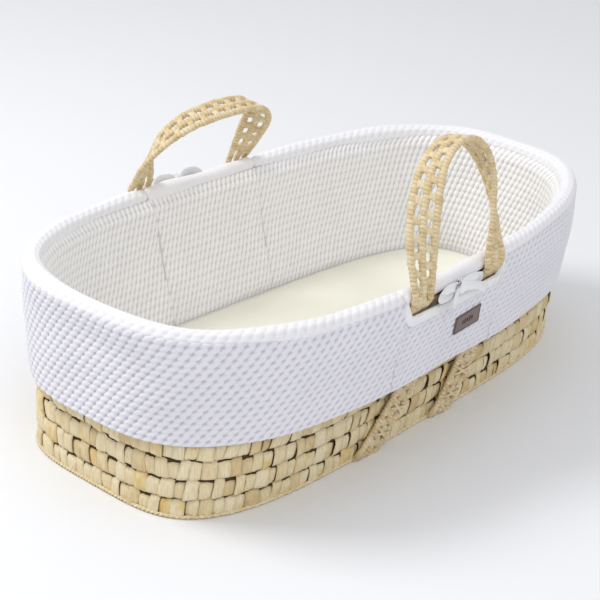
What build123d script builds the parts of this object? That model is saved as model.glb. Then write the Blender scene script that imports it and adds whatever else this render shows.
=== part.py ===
"""Moses basket: a coiled palm-leaf carrying basket with a fabric dressing, a mattress and two handles.

Millimetres, +Z up.  X runs along the basket (the wider end is at -X), Y across it (the near side,
which carries the label, is at -Y).  The origin is the middle of the base, on the floor.
"""
from build123d import *
import math
import os

# ---- palm body -------------------------------------------------------------------------------
BASE_HALF_LENGTH = 389.0
BASE_HALF_WIDTH = 168.0
BASE_SQUARENESS = 4.0        # exponent of the oval at the floor: 2 is an ellipse, more is squarer
RIM_END_FLARE = 3.0          # the wall leans out this far at the ends
RIM_SIDE_FLARE = 34.0        # and this far at the middle of the long sides
RIM_SQUARENESS = 2.95
END_TAPER = 0.08             # how much wider the -X end is than the middle, as a share
WALL_HEIGHT = 200.0          # top of the last plaited row
WALL_THICKNESS = 7.0
ROW_COUNT = 8
BASE_THICKNESS = 11.0
BORDER_HEIGHT = 6.5          # twined border on the wall's top, at the middle of the long sides
RIM_RISE = 8.0               # the rim is this much higher at the two ends

# ---- fabric dressing -------------------------------------------------------------------------
ROLL_RADIUS = 11.0           # padded roll along the rim
ROLL_OUTSET = 3.0            # from the wall's outer face to the roll's centre line
ROLL_CLEARANCE = 1.5         # between the border's top and the roll
SKIRT_THICKNESS = 4.5
HEM_END_OUTSET = 10.0        # the hem's outer face outside the rim, at the ends
HEM_SIDE_OUTSET = 3.0        # the same at the middle of the long sides
HEM_SQUARENESS = 2.9
SKIRT_DEPTH = 105.5          # from the border's top down to the hem, at the middle of the sides
HEM_DROP = 7.0               # the hem is this much lower at the two ends
SKIRT_OUTSET = 17.5          # skirt's outer face outside the wall, level with the border
SKIRT_END_OUTSET = 10.0      # the same at the two ends
SLIT_DROP = 8.5              # a slit's lower edge below the border's top
SLIT_MARGIN = 5.0            # a slit runs this far past the straps that come out of it
FACING_HEIGHT = 6.0
FACING_THICKNESS = 1.5
FLOOR_PANEL_THICKNESS = 1.6
LINING_TOP_THICKNESS = 5.0
LINING_SEAMS = (-115.0, 76.0)

# ---- mattress --------------------------------------------------------------------------------
MATTRESS_END_ROOM = 12.0     # between the wall's inner face at the floor and the mattress
MATTRESS_SIDE_ROOM = 13.0
MATTRESS_SQUARENESS = 4.0
MATTRESS_THICKNESS = 44.0
SHEET_THICKNESS = 1.2

# ---- handles and the straps that they grow out of ---------------------------------------------
CORD_RADIUS = 3.5            # each handle is three wrapped cords side by side
CORD_PITCH = 16.0
HINGE_LIFT = 7.5             # where a handle bends, above the roll's centre line
HINGE_GAP = 5.0              # between a handle's foot and the strap under it
STRAP_BEND_DROP = 14.0       # where a strap leaves the wall, below the border's top
STRAP_INNER_BEND = 1.5       # inner radius where a strap turns up round the foot of the wall
TIE_LENGTH = 6.0             # lattice ties between the cords
TIE_THICKNESS = 4.0
TIE_SPACING = 22.0
NEAR_FEET = (-90.0, 55.0)
FAR_FEET = (-108.0, 64.0)
NEAR_LEAN = 13.5             # degrees inward from upright, as the handles stand
FAR_LEAN = 30.0
TWIST_HEIGHT = 150.0         # a handle's strap has turned a quarter turn at this height
# Middle line of each arch in its own plane: along the hinge from the middle of the feet, and up.
NEAR_ARCH = ((-72.5, 0), (-71, 14), (-66, 50), (-52, 96), (-27, 138), (16, 157),
             (55, 140), (75, 100), (78, 50), (73.5, 14), (72.5, 0))
FAR_ARCH = ((-86, 0), (-88, 14), (-96, 48), (-87, 85), (-58, 110), (-18, 119),
            (22, 120), (57, 112), (80, 84), (85, 45), (86.5, 14), (86, 0))
# A strap's route on the near wall: along X at the floor, at the hem, above the hem and at the top.
NEAR_STRAP_ROUTES = ((-112.0, -60.0, -66.0, -90.0), (39.0, 70.0, 68.0, 55.0))
FAR_STRAP_ROUTES = ((-112.0, -111.0, -109.0, -108.0), (58.0, 62.0, 64.0, 64.0))
ROUTE_HEIGHTS = (0.0, 82.0, 125.0, 186.0)

# ---- small trim ------------------------------------------------------------------------------
LABEL_SIZE = (50.0, 25.0, 1.2)
LABEL_PLACE = (16.0, 55.0)   # along X, and above the hem
LABEL_TURN = 4.0
BOW_PLACE = {"near": -27.0, "far": -36.0}
BOW_SPREAD = 38.0
LASHING_LEVELS = (0.3, 0.575) # as shares of the hem's height
LASHING_SIZE = (46.0, 7.0, 1.5)

# ---- clearances ------------------------------------------------------------------------------
FIT_GAP = 0.3                # between pieces that lie against each other
STRAP_GAP = 0.4              # between a strap or a handle and what it passes
NOTCH_MARGIN = 6.0           # beside a strap where it turns up round the foot of the wall
MATTRESS_GAP = 0.7           # round the mattress, which lifts out

# ---- sizes that follow from the ones above ----------------------------------------------------
CORD_THICKNESS = 2 * CORD_RADIUS
STRAP_THICKNESS = CORD_THICKNESS
STRAP_WIDTH = 2 * CORD_PITCH + CORD_THICKNESS
NOTCH_HEIGHT = STRAP_THICKNESS + 2 * STRAP_INNER_BEND + STRAP_GAP
BORDER_TOP = WALL_HEIGHT + BORDER_HEIGHT
RIM_HALF_LENGTH = BASE_HALF_LENGTH + RIM_END_FLARE
RIM_HALF_WIDTH = BASE_HALF_WIDTH + RIM_SIDE_FLARE
HEM_HALF_LENGTH = RIM_HALF_LENGTH + HEM_END_OUTSET
HEM_HALF_WIDTH = RIM_HALF_WIDTH + HEM_SIDE_OUTSET
HEM_HEIGHT = BORDER_TOP - SKIRT_DEPTH
MATTRESS_HALF_LENGTH = BASE_HALF_LENGTH - WALL_THICKNESS - MATTRESS_END_ROOM
MATTRESS_HALF_WIDTH = BASE_HALF_WIDTH - WALL_THICKNESS - MATTRESS_SIDE_ROOM
ROLL_LIFT = ROLL_RADIUS + ROLL_CLEARANCE
ROLL_HEIGHT = BORDER_TOP + ROLL_LIFT
HINGE_HEIGHT = ROLL_HEIGHT + HINGE_LIFT
HINGE_OUTSET = ROLL_RADIUS + STRAP_GAP + CORD_RADIUS
FLOOR_TOP = BASE_THICKNESS + FIT_GAP + FLOOR_PANEL_THICKNESS
MATTRESS_BOTTOM = FLOOR_TOP + FIT_GAP
MATTRESS_TOP = MATTRESS_BOTTOM + MATTRESS_THICKNESS
SIDES = {"near": -1, "far": 1}
FEET = {"near": NEAR_FEET, "far": FAR_FEET}
LEANS = {"near": NEAR_LEAN, "far": FAR_LEAN}
ARCHES = {"near": NEAR_ARCH, "far": FAR_ARCH}
ROUTES = {"near": NEAR_STRAP_ROUTES, "far": FAR_STRAP_ROUTES}
HALF_OUTLINE_SPANS = 28
TURN_STEP = 1e-4
BIG = 1000.0

PARTS = {}


# ---- ovals -----------------------------------------------------------------------------------
def blend(low, high, share):
    """The point, or the shape, a share of the way from low to high."""
    return tuple(a + (b - a) * share for a, b in zip(low, high))


def wall_shape(height):
    """Half length, half width and squareness of the wall's outer face at a height."""
    base = (BASE_HALF_LENGTH, BASE_HALF_WIDTH, BASE_SQUARENESS)
    rim = (RIM_HALF_LENGTH, RIM_HALF_WIDTH, RIM_SQUARENESS)
    return blend(base, rim, height / WALL_HEIGHT)


def skirt_shape(height):
    """The same for the skirt's outer face."""
    hem = (HEM_HALF_LENGTH, HEM_HALF_WIDTH, HEM_SQUARENESS)
    rim = wall_shape(BORDER_TOP)
    top = (rim[0] + SKIRT_END_OUTSET, rim[1] + SKIRT_OUTSET, rim[2])
    hem_middle = HEM_HEIGHT - HEM_DROP / 2
    return blend(hem, top, (height - hem_middle) / (BORDER_TOP - hem_middle))


def mattress_shape(inset=0.0):
    """The mattress's outline, smaller by an inset."""
    return (MATTRESS_HALF_LENGTH - inset, MATTRESS_HALF_WIDTH - inset, MATTRESS_SQUARENESS)


def oval_point(shape, offset, turn):
    """A point on an oval at an angle, moved out along the oval's normal, and that normal."""
    def bare(angle):
        half_length, half_width, squareness = shape
        across, along = abs(math.sin(angle)), abs(math.cos(angle))
        scale = (along ** squareness + across ** squareness) ** (-1 / squareness)
        x = half_length * math.cos(angle) * scale
        y = half_width * math.sin(angle) * scale * (1 - END_TAPER * x / half_length)
        return x, y
    x, y = bare(turn)
    before, after = bare(turn - TURN_STEP), bare(turn + TURN_STEP)
    step_x, step_y = after[0] - before[0], after[1] - before[1]
    length = math.hypot(step_x, step_y)
    normal = Vector(step_y / length, -step_x / length, 0)
    return Vector(x, y, 0) + normal * offset, normal


def oval_face(shape, offset, height):
    """A flat face bounded by an oval."""
    halves = []
    for start, heading in ((0, 1), (1, -1)):
        turns = [math.pi * (start + i / HALF_OUTLINE_SPANS) for i in range(HALF_OUTLINE_SPANS + 1)]
        points = [oval_point(shape, offset, turn)[0] + Vector(0, 0, height) for turn in turns]
        halves.append(Spline(*points, tangents=((0, heading, 0), (0, -heading, 0))))
    return Face(Wire(halves))


def turn_at(shape, offset, x, side):
    """The angle at which an oval passes a place along X, on the near or the far side."""
    low, high = 0.0, math.pi
    for _ in range(50):
        middle = (low + high) / 2
        if oval_point(shape, offset, middle * side)[0].X > x:
            low = middle
        else:
            high = middle
    return low * side


def oval_solid(levels):
    """A closed solid through ovals, each given as (shape, offset, height)."""
    return loft([oval_face(*level) for level in levels], ruled=True)


def saddle_cutter(height, rise, above):
    """A block above, or below, a surface that is level in the middle and rises at the ends."""
    xs = [-1.25 * RIM_HALF_LENGTH + i * RIM_HALF_LENGTH / 4 for i in range(11)]
    curve = [Vector(x, 0, height + rise * (x / RIM_HALF_LENGTH) ** 2) for x in xs]
    far_z = BIG if above else -BIG
    corners = [curve[-1], Vector(curve[-1].X, 0, far_z), Vector(curve[0].X, 0, far_z), curve[0]]
    outline = Wire([Spline(*curve), *Polyline(*corners).edges()])
    return extrude(Face(outline), amount=BIG / 2, dir=(0, 1, 0), both=True)


# ---- bands: solids that follow a route with a section that turns --------------------------------
def frame_section(frame, points):
    """A flat face at a place on a route; points are (along the width, along the normal)."""
    place, across, normal = frame
    return Face(Wire.make_polygon([place + across * u + normal * v for u, v in points], close=True))


def band(frames, width, thickness):
    """A flat strap through frames of (place, width direction, outward normal)."""
    u, v = width / 2, thickness / 2
    section = ((-u, -v), (u, -v), (u, v), (-u, v))
    return loft([frame_section(frame, section) for frame in frames], ruled=True)


def round_bar(frames, radius, shift=0.0, sides=8):
    """A round bar through frames, moved sideways along their width; radius is to its corners."""
    angles = [2 * math.pi * (i + 0.5) / sides for i in range(sides)]
    section = [(shift + radius * math.cos(a), radius * math.sin(a)) for a in angles]
    return loft([frame_section(frame, section) for frame in frames], ruled=True)


def smooth_route(points, per_span):
    """Points on a smooth curve through a list of points, per_span to each stretch."""
    first = points[0] * 2 - points[1]
    last = points[-1] * 2 - points[-2]
    padded = [first, *points, last]
    route = []
    for a, b, c, d in zip(padded, padded[1:], padded[2:], padded[3:]):
        for step in range(per_span):
            t = step / per_span
            pull = (c - a) * t + (a * 2 - b * 5 + c * 4 - d) * t ** 2 + (b * 3 - a - c * 3 + d) * t ** 3
            route.append(b + pull * 0.5)
    return [*route, points[-1]]


# ---- palm body -------------------------------------------------------------------------------
def wall_ring(low, high):
    """A ring of the wall between two heights."""
    outer = oval_solid([(wall_shape(z), 0, z) for z in (low, high)])
    inner = oval_solid([(wall_shape(z), -WALL_THICKNESS, z) for z in (low - 1, high + 1)])
    return outer - inner


def strap_notch(name, x):
    """A block that clears a strap where it turns up round the foot of a wall."""
    width = STRAP_WIDTH + 2 * NOTCH_MARGIN
    depth = 8 * WALL_THICKNESS
    return Pos(x, SIDES[name] * BASE_HALF_WIDTH, 0) * Box(width, depth, 2 * NOTCH_HEIGHT)


def strap_channel(index):
    """A block that clears a strap where it crosses under the base."""
    far_x, near_x = ROUTES["far"][index][0], ROUTES["near"][index][0]
    ends = [Vector(far_x, BASE_HALF_WIDTH, 0), Vector(near_x, -BASE_HALF_WIDTH, 0)]
    across = Vector(0, 0, -1).cross((ends[1] - ends[0]).normalized())
    frames = [(end, across, Vector(0, 0, -1)) for end in ends]
    return band(frames, STRAP_WIDTH + 2 * STRAP_GAP, 2 * (STRAP_THICKNESS + STRAP_GAP))


def palm_body():
    """The base, the plaited rows and the twined border, with room under them for the straps."""
    row_height = WALL_HEIGHT / ROW_COUNT
    base = oval_solid([(wall_shape(z), -WALL_THICKNESS - FIT_GAP, z) for z in (0, BASE_THICKNESS)])
    first_row = wall_ring(0, row_height - FIT_GAP)
    for index in (0, 1):
        base -= strap_channel(index)
        for name in SIDES:
            first_row -= strap_notch(name, ROUTES[name][index][0])
            base -= strap_notch(name, ROUTES[name][index][0])
    save("woven_base", base)
    save("wall_row_1", first_row)
    for row in range(1, ROW_COUNT):
        save(f"wall_row_{row + 1}", wall_ring(row * row_height, (row + 1) * row_height - FIT_GAP))
    border = wall_ring(WALL_HEIGHT, BORDER_TOP + 2 * RIM_RISE)
    save("rim_border", border - saddle_cutter(BORDER_TOP, RIM_RISE, above=True))


# ---- straps under the basket -------------------------------------------------------------------
def face_frame(shape_at, side, x, z):
    """A place on a leaning face of the basket, and the outward normal there."""
    def place(at_x, at_z):
        half_length, half_width, squareness = shape_at(at_z)
        share = (1 - abs(at_x / half_length) ** squareness) ** (1 / squareness)
        return Vector(at_x, side * half_width * share * (1 - END_TAPER * at_x / half_length), at_z)
    step = 0.5
    along = place(x + step, z) - place(x - step, z)
    upward = place(x, z + step) - place(x, z - step)
    normal = along.cross(upward).normalized()
    if normal.Y * side < 0:
        normal = normal * -1
    return place(x, z), normal


def roll_frame(side, x):
    """The roll's centre line at a place along X: the point and the outward level normal."""
    shape = wall_shape(BORDER_TOP)
    point, normal = oval_point(shape, ROLL_OUTSET, turn_at(shape, ROLL_OUTSET, x, side))
    return Vector(point.X, point.Y, ROLL_HEIGHT + RIM_RISE * (x / RIM_HALF_LENGTH) ** 2), normal


def wall_route(side, route):
    """Centre points and normals of a strap up one wall, from the floor to where it leaves it."""
    leave = BORDER_TOP - STRAP_BEND_DROP
    heights = [ROUTE_HEIGHTS[0], *(h * leave / ROUTE_HEIGHTS[-1] for h in ROUTE_HEIGHTS[1:])]
    guides = [Vector(x, 0, z) for x, z in zip(route, heights)]
    frames = []
    for guide in smooth_route(guides, 4)[1:]:
        place, normal = face_frame(wall_shape, side, guide.X, guide.Z)
        frames.append((place + normal * (STRAP_GAP + STRAP_THICKNESS / 2), normal))
    return frames


def rim_route(side, foot, start):
    """Centre points and normals of a strap from the wall's top, round the roll, to the handle."""
    centre, outward = roll_frame(side, foot)
    level = (start - centre).dot(outward)
    down = centre.Z - start.Z
    reach = math.hypot(level, down)
    lean = math.atan2(down, -level) - math.asin(HINGE_OUTSET / reach)
    first_angle = lean - math.pi / 2
    frames = []
    for step in range(4):
        angle = first_angle * (1 - step / 3)
        normal = outward * math.cos(angle) + Vector(0, 0, math.sin(angle))
        frames.append((centre + normal * HINGE_OUTSET, normal))
    top = centre + outward * HINGE_OUTSET + Vector(0, 0, HINGE_LIFT - HINGE_GAP)
    return [*frames, (top, outward)]


def base_corner(side, start):
    """Centre points and normals of a strap's turn from under the base to the foot of a wall."""
    radius = STRAP_THICKNESS / 2 + STRAP_INNER_BEND
    place, _ = start
    frames = []
    for step in range(1, 5):
        angle = math.radians(step * 90 / 5)
        out = Vector(0, side * math.sin(angle), -math.cos(angle))
        y = place.Y - side * radius * (1 - math.sin(angle))
        frames.append((Vector(place.X, y, STRAP_THICKNESS / 2 + radius * (1 - math.cos(angle))), out))
    return [(Vector(place.X, place.Y - side * radius, STRAP_THICKNESS / 2), Vector(0, 0, -1)), *frames]


def strap_side(side, route, foot):
    """One half of a strap's route: from under the base up to the handle's foot."""
    wall = wall_route(side, route)
    ground, ground_normal = face_frame(wall_shape, side, route[0], STRAP_THICKNESS + STRAP_INNER_BEND)
    start = (ground + ground_normal * (STRAP_GAP + STRAP_THICKNESS / 2), ground_normal)
    above_corner = [frame for frame in wall if frame[0].Z > STRAP_THICKNESS + 3]
    return [*base_corner(side, start), *above_corner, *rim_route(side, foot, above_corner[-1][0])]


def with_width(route):
    """Frames with a width direction square to the route and to each normal."""
    frames = []
    for i, (place, normal) in enumerate(route):
        before, after = route[max(i - 1, 0)][0], route[min(i + 1, len(route) - 1)][0]
        across = normal.cross((after - before).normalized()).normalized()
        frames.append((place, across, normal))
    return frames


def strap_frames(index):
    """The whole route of one strap: down the far wall, under the base and up the near wall."""
    far = strap_side(1, ROUTES["far"][index], FEET["far"][index])
    near = strap_side(-1, ROUTES["near"][index], FEET["near"][index])
    return with_width([*reversed(far), *near])


def lashings(frames):
    """Palm ties across the straps, outside them, near the foot of each wall."""
    width, length, thickness = LASHING_SIZE
    group = []
    for level in LASHING_LEVELS:
        height = level * HEM_HEIGHT
        for side in SIDES.values():
            on_side = [frame for frame in frames if frame[0].Y * side > 0]
            place, across, normal = min(on_side, key=lambda frame: abs(frame[0].Z - height))
            centre = place + normal * (STRAP_THICKNESS / 2 + STRAP_GAP + thickness / 2)
            plane = Plane(centre, x_dir=across, z_dir=normal)
            group.append(plane * Box(width, length, thickness))
    return group


# ---- dressing --------------------------------------------------------------------------------
def slit_box(name, margin=0.0):
    """A block over the stretch of one long side in which the dressing is slit."""
    reach = STRAP_WIDTH / 2 + SLIT_MARGIN + margin
    low, high = FEET[name][0] - reach, FEET[name][1] + reach
    return Pos((low + high) / 2, SIDES[name] * BIG / 2, 0) * Box(high - low, BIG, BIG)


def end_box(end):
    """A block over the half of the basket towards one end."""
    return Pos(end * BIG / 2, 0, 0) * Box(BIG, BIG, BIG)


def skirt():
    """The dressing outside the wall: two panels under the slits, and one round each end."""
    levels = (HEM_HEIGHT - 2 * HEM_DROP, BORDER_TOP + 2 * RIM_RISE)
    outer = oval_solid([(skirt_shape(z), 0, z) for z in levels])
    inner = oval_solid([(skirt_shape(z), -SKIRT_THICKNESS, z) for z in (levels[0] - 1, levels[1] + 1)])
    ring = outer - inner - saddle_cutter(HEM_HEIGHT, -HEM_DROP, above=False)
    full = ring - saddle_cutter(BORDER_TOP + FIT_GAP, RIM_RISE, above=True)
    slit_edge = BORDER_TOP - SLIT_DROP
    low = ring - saddle_cutter(slit_edge, RIM_RISE, above=True)
    for name in SIDES:
        save(f"skirt_{name}_side", low & slit_box(name))
    for name, end in (("skirt_head_end", -1), ("skirt_foot_end", 1)):
        save(name, (full & end_box(end)) - slit_box("near") - slit_box("far"))


def slit_facings():
    """A smooth facing along the lower edge of each slit."""
    top = BORDER_TOP - SLIT_DROP
    bottom = top - FACING_HEIGHT
    outer_offset = FIT_GAP + FACING_THICKNESS
    outer = oval_solid([(skirt_shape(z), outer_offset, z) for z in (bottom, top)])
    inner = oval_solid([(skirt_shape(z), FIT_GAP, z) for z in (bottom - 1, top + 1)])
    for name in SIDES:
        save(f"{name}_slit_facing", (outer - inner) & slit_box(name))


def lining():
    """The padded lining inside the wall, in four panels, and the panel that covers the base."""
    cut_top = BORDER_TOP + 2 * RIM_RISE
    low, bend = MATTRESS_BOTTOM, MATTRESS_TOP
    wide = (MATTRESS_HALF_LENGTH + MATTRESS_GAP, MATTRESS_HALF_WIDTH + MATTRESS_GAP, MATTRESS_SQUARENESS)
    rim = wall_shape(cut_top)
    inset = WALL_THICKNESS + FIT_GAP
    top = (rim[0] - inset - LINING_TOP_THICKNESS, rim[1] - inset - LINING_TOP_THICKNESS, rim[2])
    hollow = oval_solid([(wide, 0, low - 1), (wide, 0, bend), (top, 0, cut_top + 1)])
    outer = oval_solid([(wall_shape(z), -inset, z) for z in (low, cut_top)])
    ring = outer - hollow - saddle_cutter(BORDER_TOP, RIM_RISE, above=True)
    left, right = LINING_SEAMS
    middle = Pos((left + right) / 2, 0, 0) * Box(right - left, BIG, BIG)
    for name, side in SIDES.items():
        half = Pos(0, side * BIG / 2, 0) * Box(BIG, BIG, BIG)
        save(f"lining_{name}_side", ring & middle & half)
    save("lining_head_end", (ring - middle) & end_box(-1))
    save("lining_foot_end", (ring - middle) & end_box(1))
    floor_levels = (BASE_THICKNESS + FIT_GAP, FLOOR_TOP)
    save("lining_floor", oval_solid([(wall_shape(z), -inset, z) for z in floor_levels]))


def roll_piece(first_turn, last_turn, steps):
    """A length of the padded roll between two angles round the rim."""
    shape = wall_shape(BORDER_TOP)
    frames = []
    for i in range(steps + 1):
        turn = first_turn + (last_turn - first_turn) * i / steps
        point, normal = oval_point(shape, ROLL_OUTSET, turn)
        height = ROLL_HEIGHT + RIM_RISE * (point.X / RIM_HALF_LENGTH) ** 2
        frames.append((Vector(point.X, point.Y, height), normal, Vector(0, 0, 1)))
    return round_bar(frames, ROLL_RADIUS, sides=12)


def roll():
    """The padded roll along the rim, in four lengths that meet at the lining's seams."""
    shape = wall_shape(BORDER_TOP)
    left, right = LINING_SEAMS
    far_left, far_right = (turn_at(shape, ROLL_OUTSET, x, 1) for x in (left, right))
    near_left, near_right = (turn_at(shape, ROLL_OUTSET, x, -1) for x in (left, right))
    save("roll_far_side", roll_piece(far_right, far_left, 8))
    save("roll_near_side", roll_piece(near_left, near_right, 8))
    save("roll_foot_end", roll_piece(near_right, far_right, 36))
    save("roll_head_end", roll_piece(far_left, near_left + 2 * math.pi, 36))


def tie_bow(name):
    """A tied bow in the middle of a slit: the knot, two loops and two hanging ends."""
    side = SIDES[name]
    centre, outward = roll_frame(side, BOW_PLACE[name])
    along = Vector(0, 0, 1).cross(outward)
    thickness = 6.0
    middle = centre + outward * (ROLL_RADIUS + STRAP_GAP + thickness / 2) - Vector(0, 0, 4)
    plane = Plane(middle, x_dir=along, z_dir=outward)
    bow = Box(12, 14, thickness)
    for turn in (12, 168):
        bow += Rot(0, 0, turn) * Pos(BOW_SPREAD / 2, 0, 0) * Box(BOW_SPREAD - 4, 14, thickness)
    for turn in (-25, -155):
        bow += Rot(0, 0, turn) * Pos(BOW_SPREAD / 3, 0, 0) * Box(BOW_SPREAD / 1.5, 9, thickness / 2)
    return plane * bow


def label():
    """The small label sewn to the near side of the skirt."""
    place, normal = face_frame(skirt_shape, -1, LABEL_PLACE[0], HEM_HEIGHT + LABEL_PLACE[1])
    plane = Plane(place + normal * (FIT_GAP + LABEL_SIZE[2] / 2), x_dir=(1, 0, 0), z_dir=normal)
    return plane * (Rot(0, 0, LABEL_TURN) * Box(*LABEL_SIZE))


# ---- mattress --------------------------------------------------------------------------------
def mattress():
    """The foam core and the fitted sheet over its top and sides."""
    low, high = MATTRESS_BOTTOM, MATTRESS_TOP
    outside = oval_solid([(mattress_shape(), 0, z) for z in (low, high)])
    under = high - SHEET_THICKNESS
    inside = oval_solid([(mattress_shape(SHEET_THICKNESS), 0, z) for z in (low - 1, under)])
    save("fitted_sheet", outside - inside)
    inset = SHEET_THICKNESS + FIT_GAP
    core_levels = (low + FIT_GAP, under - FIT_GAP)
    save("mattress_core", oval_solid([(mattress_shape(inset), 0, z) for z in core_levels]))


# ---- handles ---------------------------------------------------------------------------------
def hinge_line(name):
    """Where a handle bends: the middle of its two feet, and the direction from foot to foot."""
    ends = []
    for foot in FEET[name]:
        centre, outward = roll_frame(SIDES[name], foot)
        ends.append(centre + outward * HINGE_OUTSET + Vector(0, 0, HINGE_LIFT))
    return (ends[0] + ends[1]) * 0.5, (ends[1] - ends[0]).normalized(), (ends[1] - ends[0]).length


def handle_frames(name):
    """Frames along a handle from its -X foot to its +X foot, standing at its lean."""
    middle, along, feet_apart = hinge_line(name)
    outward = Vector(along.Y, -along.X, 0).normalized() * (-SIDES[name])
    lean = math.radians(LEANS[name])
    upward = Vector(0, 0, math.cos(lean)) - outward * math.sin(lean)
    face = outward * math.cos(lean) + Vector(0, 0, math.sin(lean))
    stretch = feet_apart / (ARCHES[name][-1][0] - ARCHES[name][0][0])
    guides = [middle + along * (u * stretch) + upward * v for u, v in ARCHES[name]]
    route = smooth_route(guides, 3)
    frames = []
    for i, place in enumerate(route):
        travel = (route[min(i + 1, len(route) - 1)] - route[max(i - 1, 0)]).normalized()
        if i in (0, len(route) - 1):
            travel = upward if i == 0 else upward * -1
        radial = face.cross(travel).normalized() * (-1 if SIDES[name] > 0 else 1)
        twist = min(1.0, (place - middle).dot(upward) / TWIST_HEIGHT) * math.pi / 2
        normal = face * math.cos(twist) + radial * math.sin(twist)
        frames.append((place, normal.cross(travel).normalized(), normal))
    return frames


def route_length(frames):
    """The length of a route along its middle line."""
    return sum((b[0] - a[0]).length for a, b in zip(frames, frames[1:]))


def frame_along(frames, distance):
    """The frame at a distance along a route."""
    for a, b in zip(frames, frames[1:]):
        span = (b[0] - a[0]).length
        if distance <= span:
            share = distance / span
            place, across, normal = (p + (q - p) * share for p, q in zip(a, b))
            return place, across.normalized(), normal.normalized()
        distance -= span
    return frames[-1]


def handle_ties(frames):
    """The lattice ties between a handle's cords, each a closed block of its own."""
    gap = CORD_PITCH - CORD_THICKNESS - 2 * FIT_GAP
    length = route_length(frames)
    count = int((length - TIE_SPACING) / TIE_SPACING)
    group = []
    for row, shift in enumerate((-CORD_PITCH / 2, CORD_PITCH / 2)):
        for i in range(count):
            distance = TIE_SPACING * (i + 0.8 + 0.5 * row)
            place, across, normal = frame_along(frames, distance)
            plane = Plane(place + across * shift, x_dir=across, z_dir=normal)
            group.append(plane * Box(gap, TIE_LENGTH, TIE_THICKNESS))
    return group


def handle(name):
    """A handle: three wrapped cords side by side and the lattice that ties them together."""
    frames = handle_frames(name)
    inner_shift = -CORD_PITCH if SIDES[name] > 0 else CORD_PITCH
    save(f"{name}_handle_inner_cord", round_bar(frames, CORD_RADIUS, inner_shift))
    save(f"{name}_handle_middle_cord", round_bar(frames, CORD_RADIUS))
    save(f"{name}_handle_outer_cord", round_bar(frames, CORD_RADIUS, -inner_shift))
    save(f"{name}_handle_ties", Compound(handle_ties(frames)))
    middle, along, _ = hinge_line(name)
    print(f"{name} hinge: middle {tuple(middle)}, direction {tuple(along)}")
    print(f"{name} handle length {route_length(frames):.1f}, foot to foot along the strap")


def save(name, shape):
    """Keep a piece and write it to its own file."""
    shape.label = name
    PARTS[name] = shape
    export_step(shape, f"parts/{name}.step")


def main():
    """Build every piece."""
    os.makedirs("parts", exist_ok=True)
    routes = [strap_frames(0), strap_frames(1)]
    palm_body()
    save("head_strap", band(routes[0], STRAP_WIDTH, STRAP_THICKNESS))
    save("foot_strap", band(routes[1], STRAP_WIDTH, STRAP_THICKNESS))
    save("strap_lashings", Compound(lashings(routes[0]) + lashings(routes[1])))
    skirt()
    slit_facings()
    lining()
    roll()
    for name in SIDES:
        save(f"{name}_tie_bow", tie_bow(name))
    save("label", label())
    mattress()
    for name in SIDES:
        handle(name)


main()
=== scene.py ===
"""Looks of the moses basket: plaited palm body, knitted dressing, sheeted mattress and two handles.

All lengths are in metres, in the frame's own axes: X along the basket, -Y its near side, Z up.
"""
import logging
import math
from dataclasses import dataclass, field
from enum import Enum

import bmesh
import bpy
import numpy as np
from mathutils import Matrix, Vector


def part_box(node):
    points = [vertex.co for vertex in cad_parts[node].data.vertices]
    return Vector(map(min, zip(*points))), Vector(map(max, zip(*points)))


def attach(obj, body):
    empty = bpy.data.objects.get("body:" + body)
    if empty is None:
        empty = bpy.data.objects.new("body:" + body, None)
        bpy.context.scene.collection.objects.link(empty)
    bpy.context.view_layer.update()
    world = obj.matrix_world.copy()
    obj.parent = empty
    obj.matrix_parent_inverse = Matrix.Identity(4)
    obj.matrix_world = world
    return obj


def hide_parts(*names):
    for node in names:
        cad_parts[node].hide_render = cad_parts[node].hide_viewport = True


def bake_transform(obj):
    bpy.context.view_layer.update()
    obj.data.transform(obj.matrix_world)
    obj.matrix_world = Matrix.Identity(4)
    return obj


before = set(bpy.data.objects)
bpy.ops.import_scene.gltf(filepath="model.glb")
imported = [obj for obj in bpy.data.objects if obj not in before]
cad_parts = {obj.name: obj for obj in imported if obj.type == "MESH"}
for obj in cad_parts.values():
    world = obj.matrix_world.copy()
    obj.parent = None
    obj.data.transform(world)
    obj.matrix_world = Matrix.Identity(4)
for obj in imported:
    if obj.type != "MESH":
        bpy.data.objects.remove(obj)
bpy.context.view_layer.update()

log = logging.getLogger("moses_basket")
UP = Vector((0.0, 0.0, 1.0))
FULL_TURN = 2 * math.pi
TURN_STEP = 1e-4
Frame = tuple[Vector, Vector, Vector]


class Side(Enum):
    """A long side of the basket and the way it lies along Y."""

    NEAR = -1
    FAR = 1

    @property
    def label(self) -> str:
        """The side's name as the nodes spell it."""
        return self.name.lower()


def ease(share: np.ndarray) -> np.ndarray:
    """A share held between 0 and 1 that starts and stops gently."""
    share = np.clip(share, 0, 1)
    return share * share * (3 - 2 * share)


def run_along(points: np.ndarray) -> np.ndarray:
    """Distances along a line of points."""
    return np.concatenate([[0], np.cumsum(np.linalg.norm(np.diff(points, axis=0), axis=1))])


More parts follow.
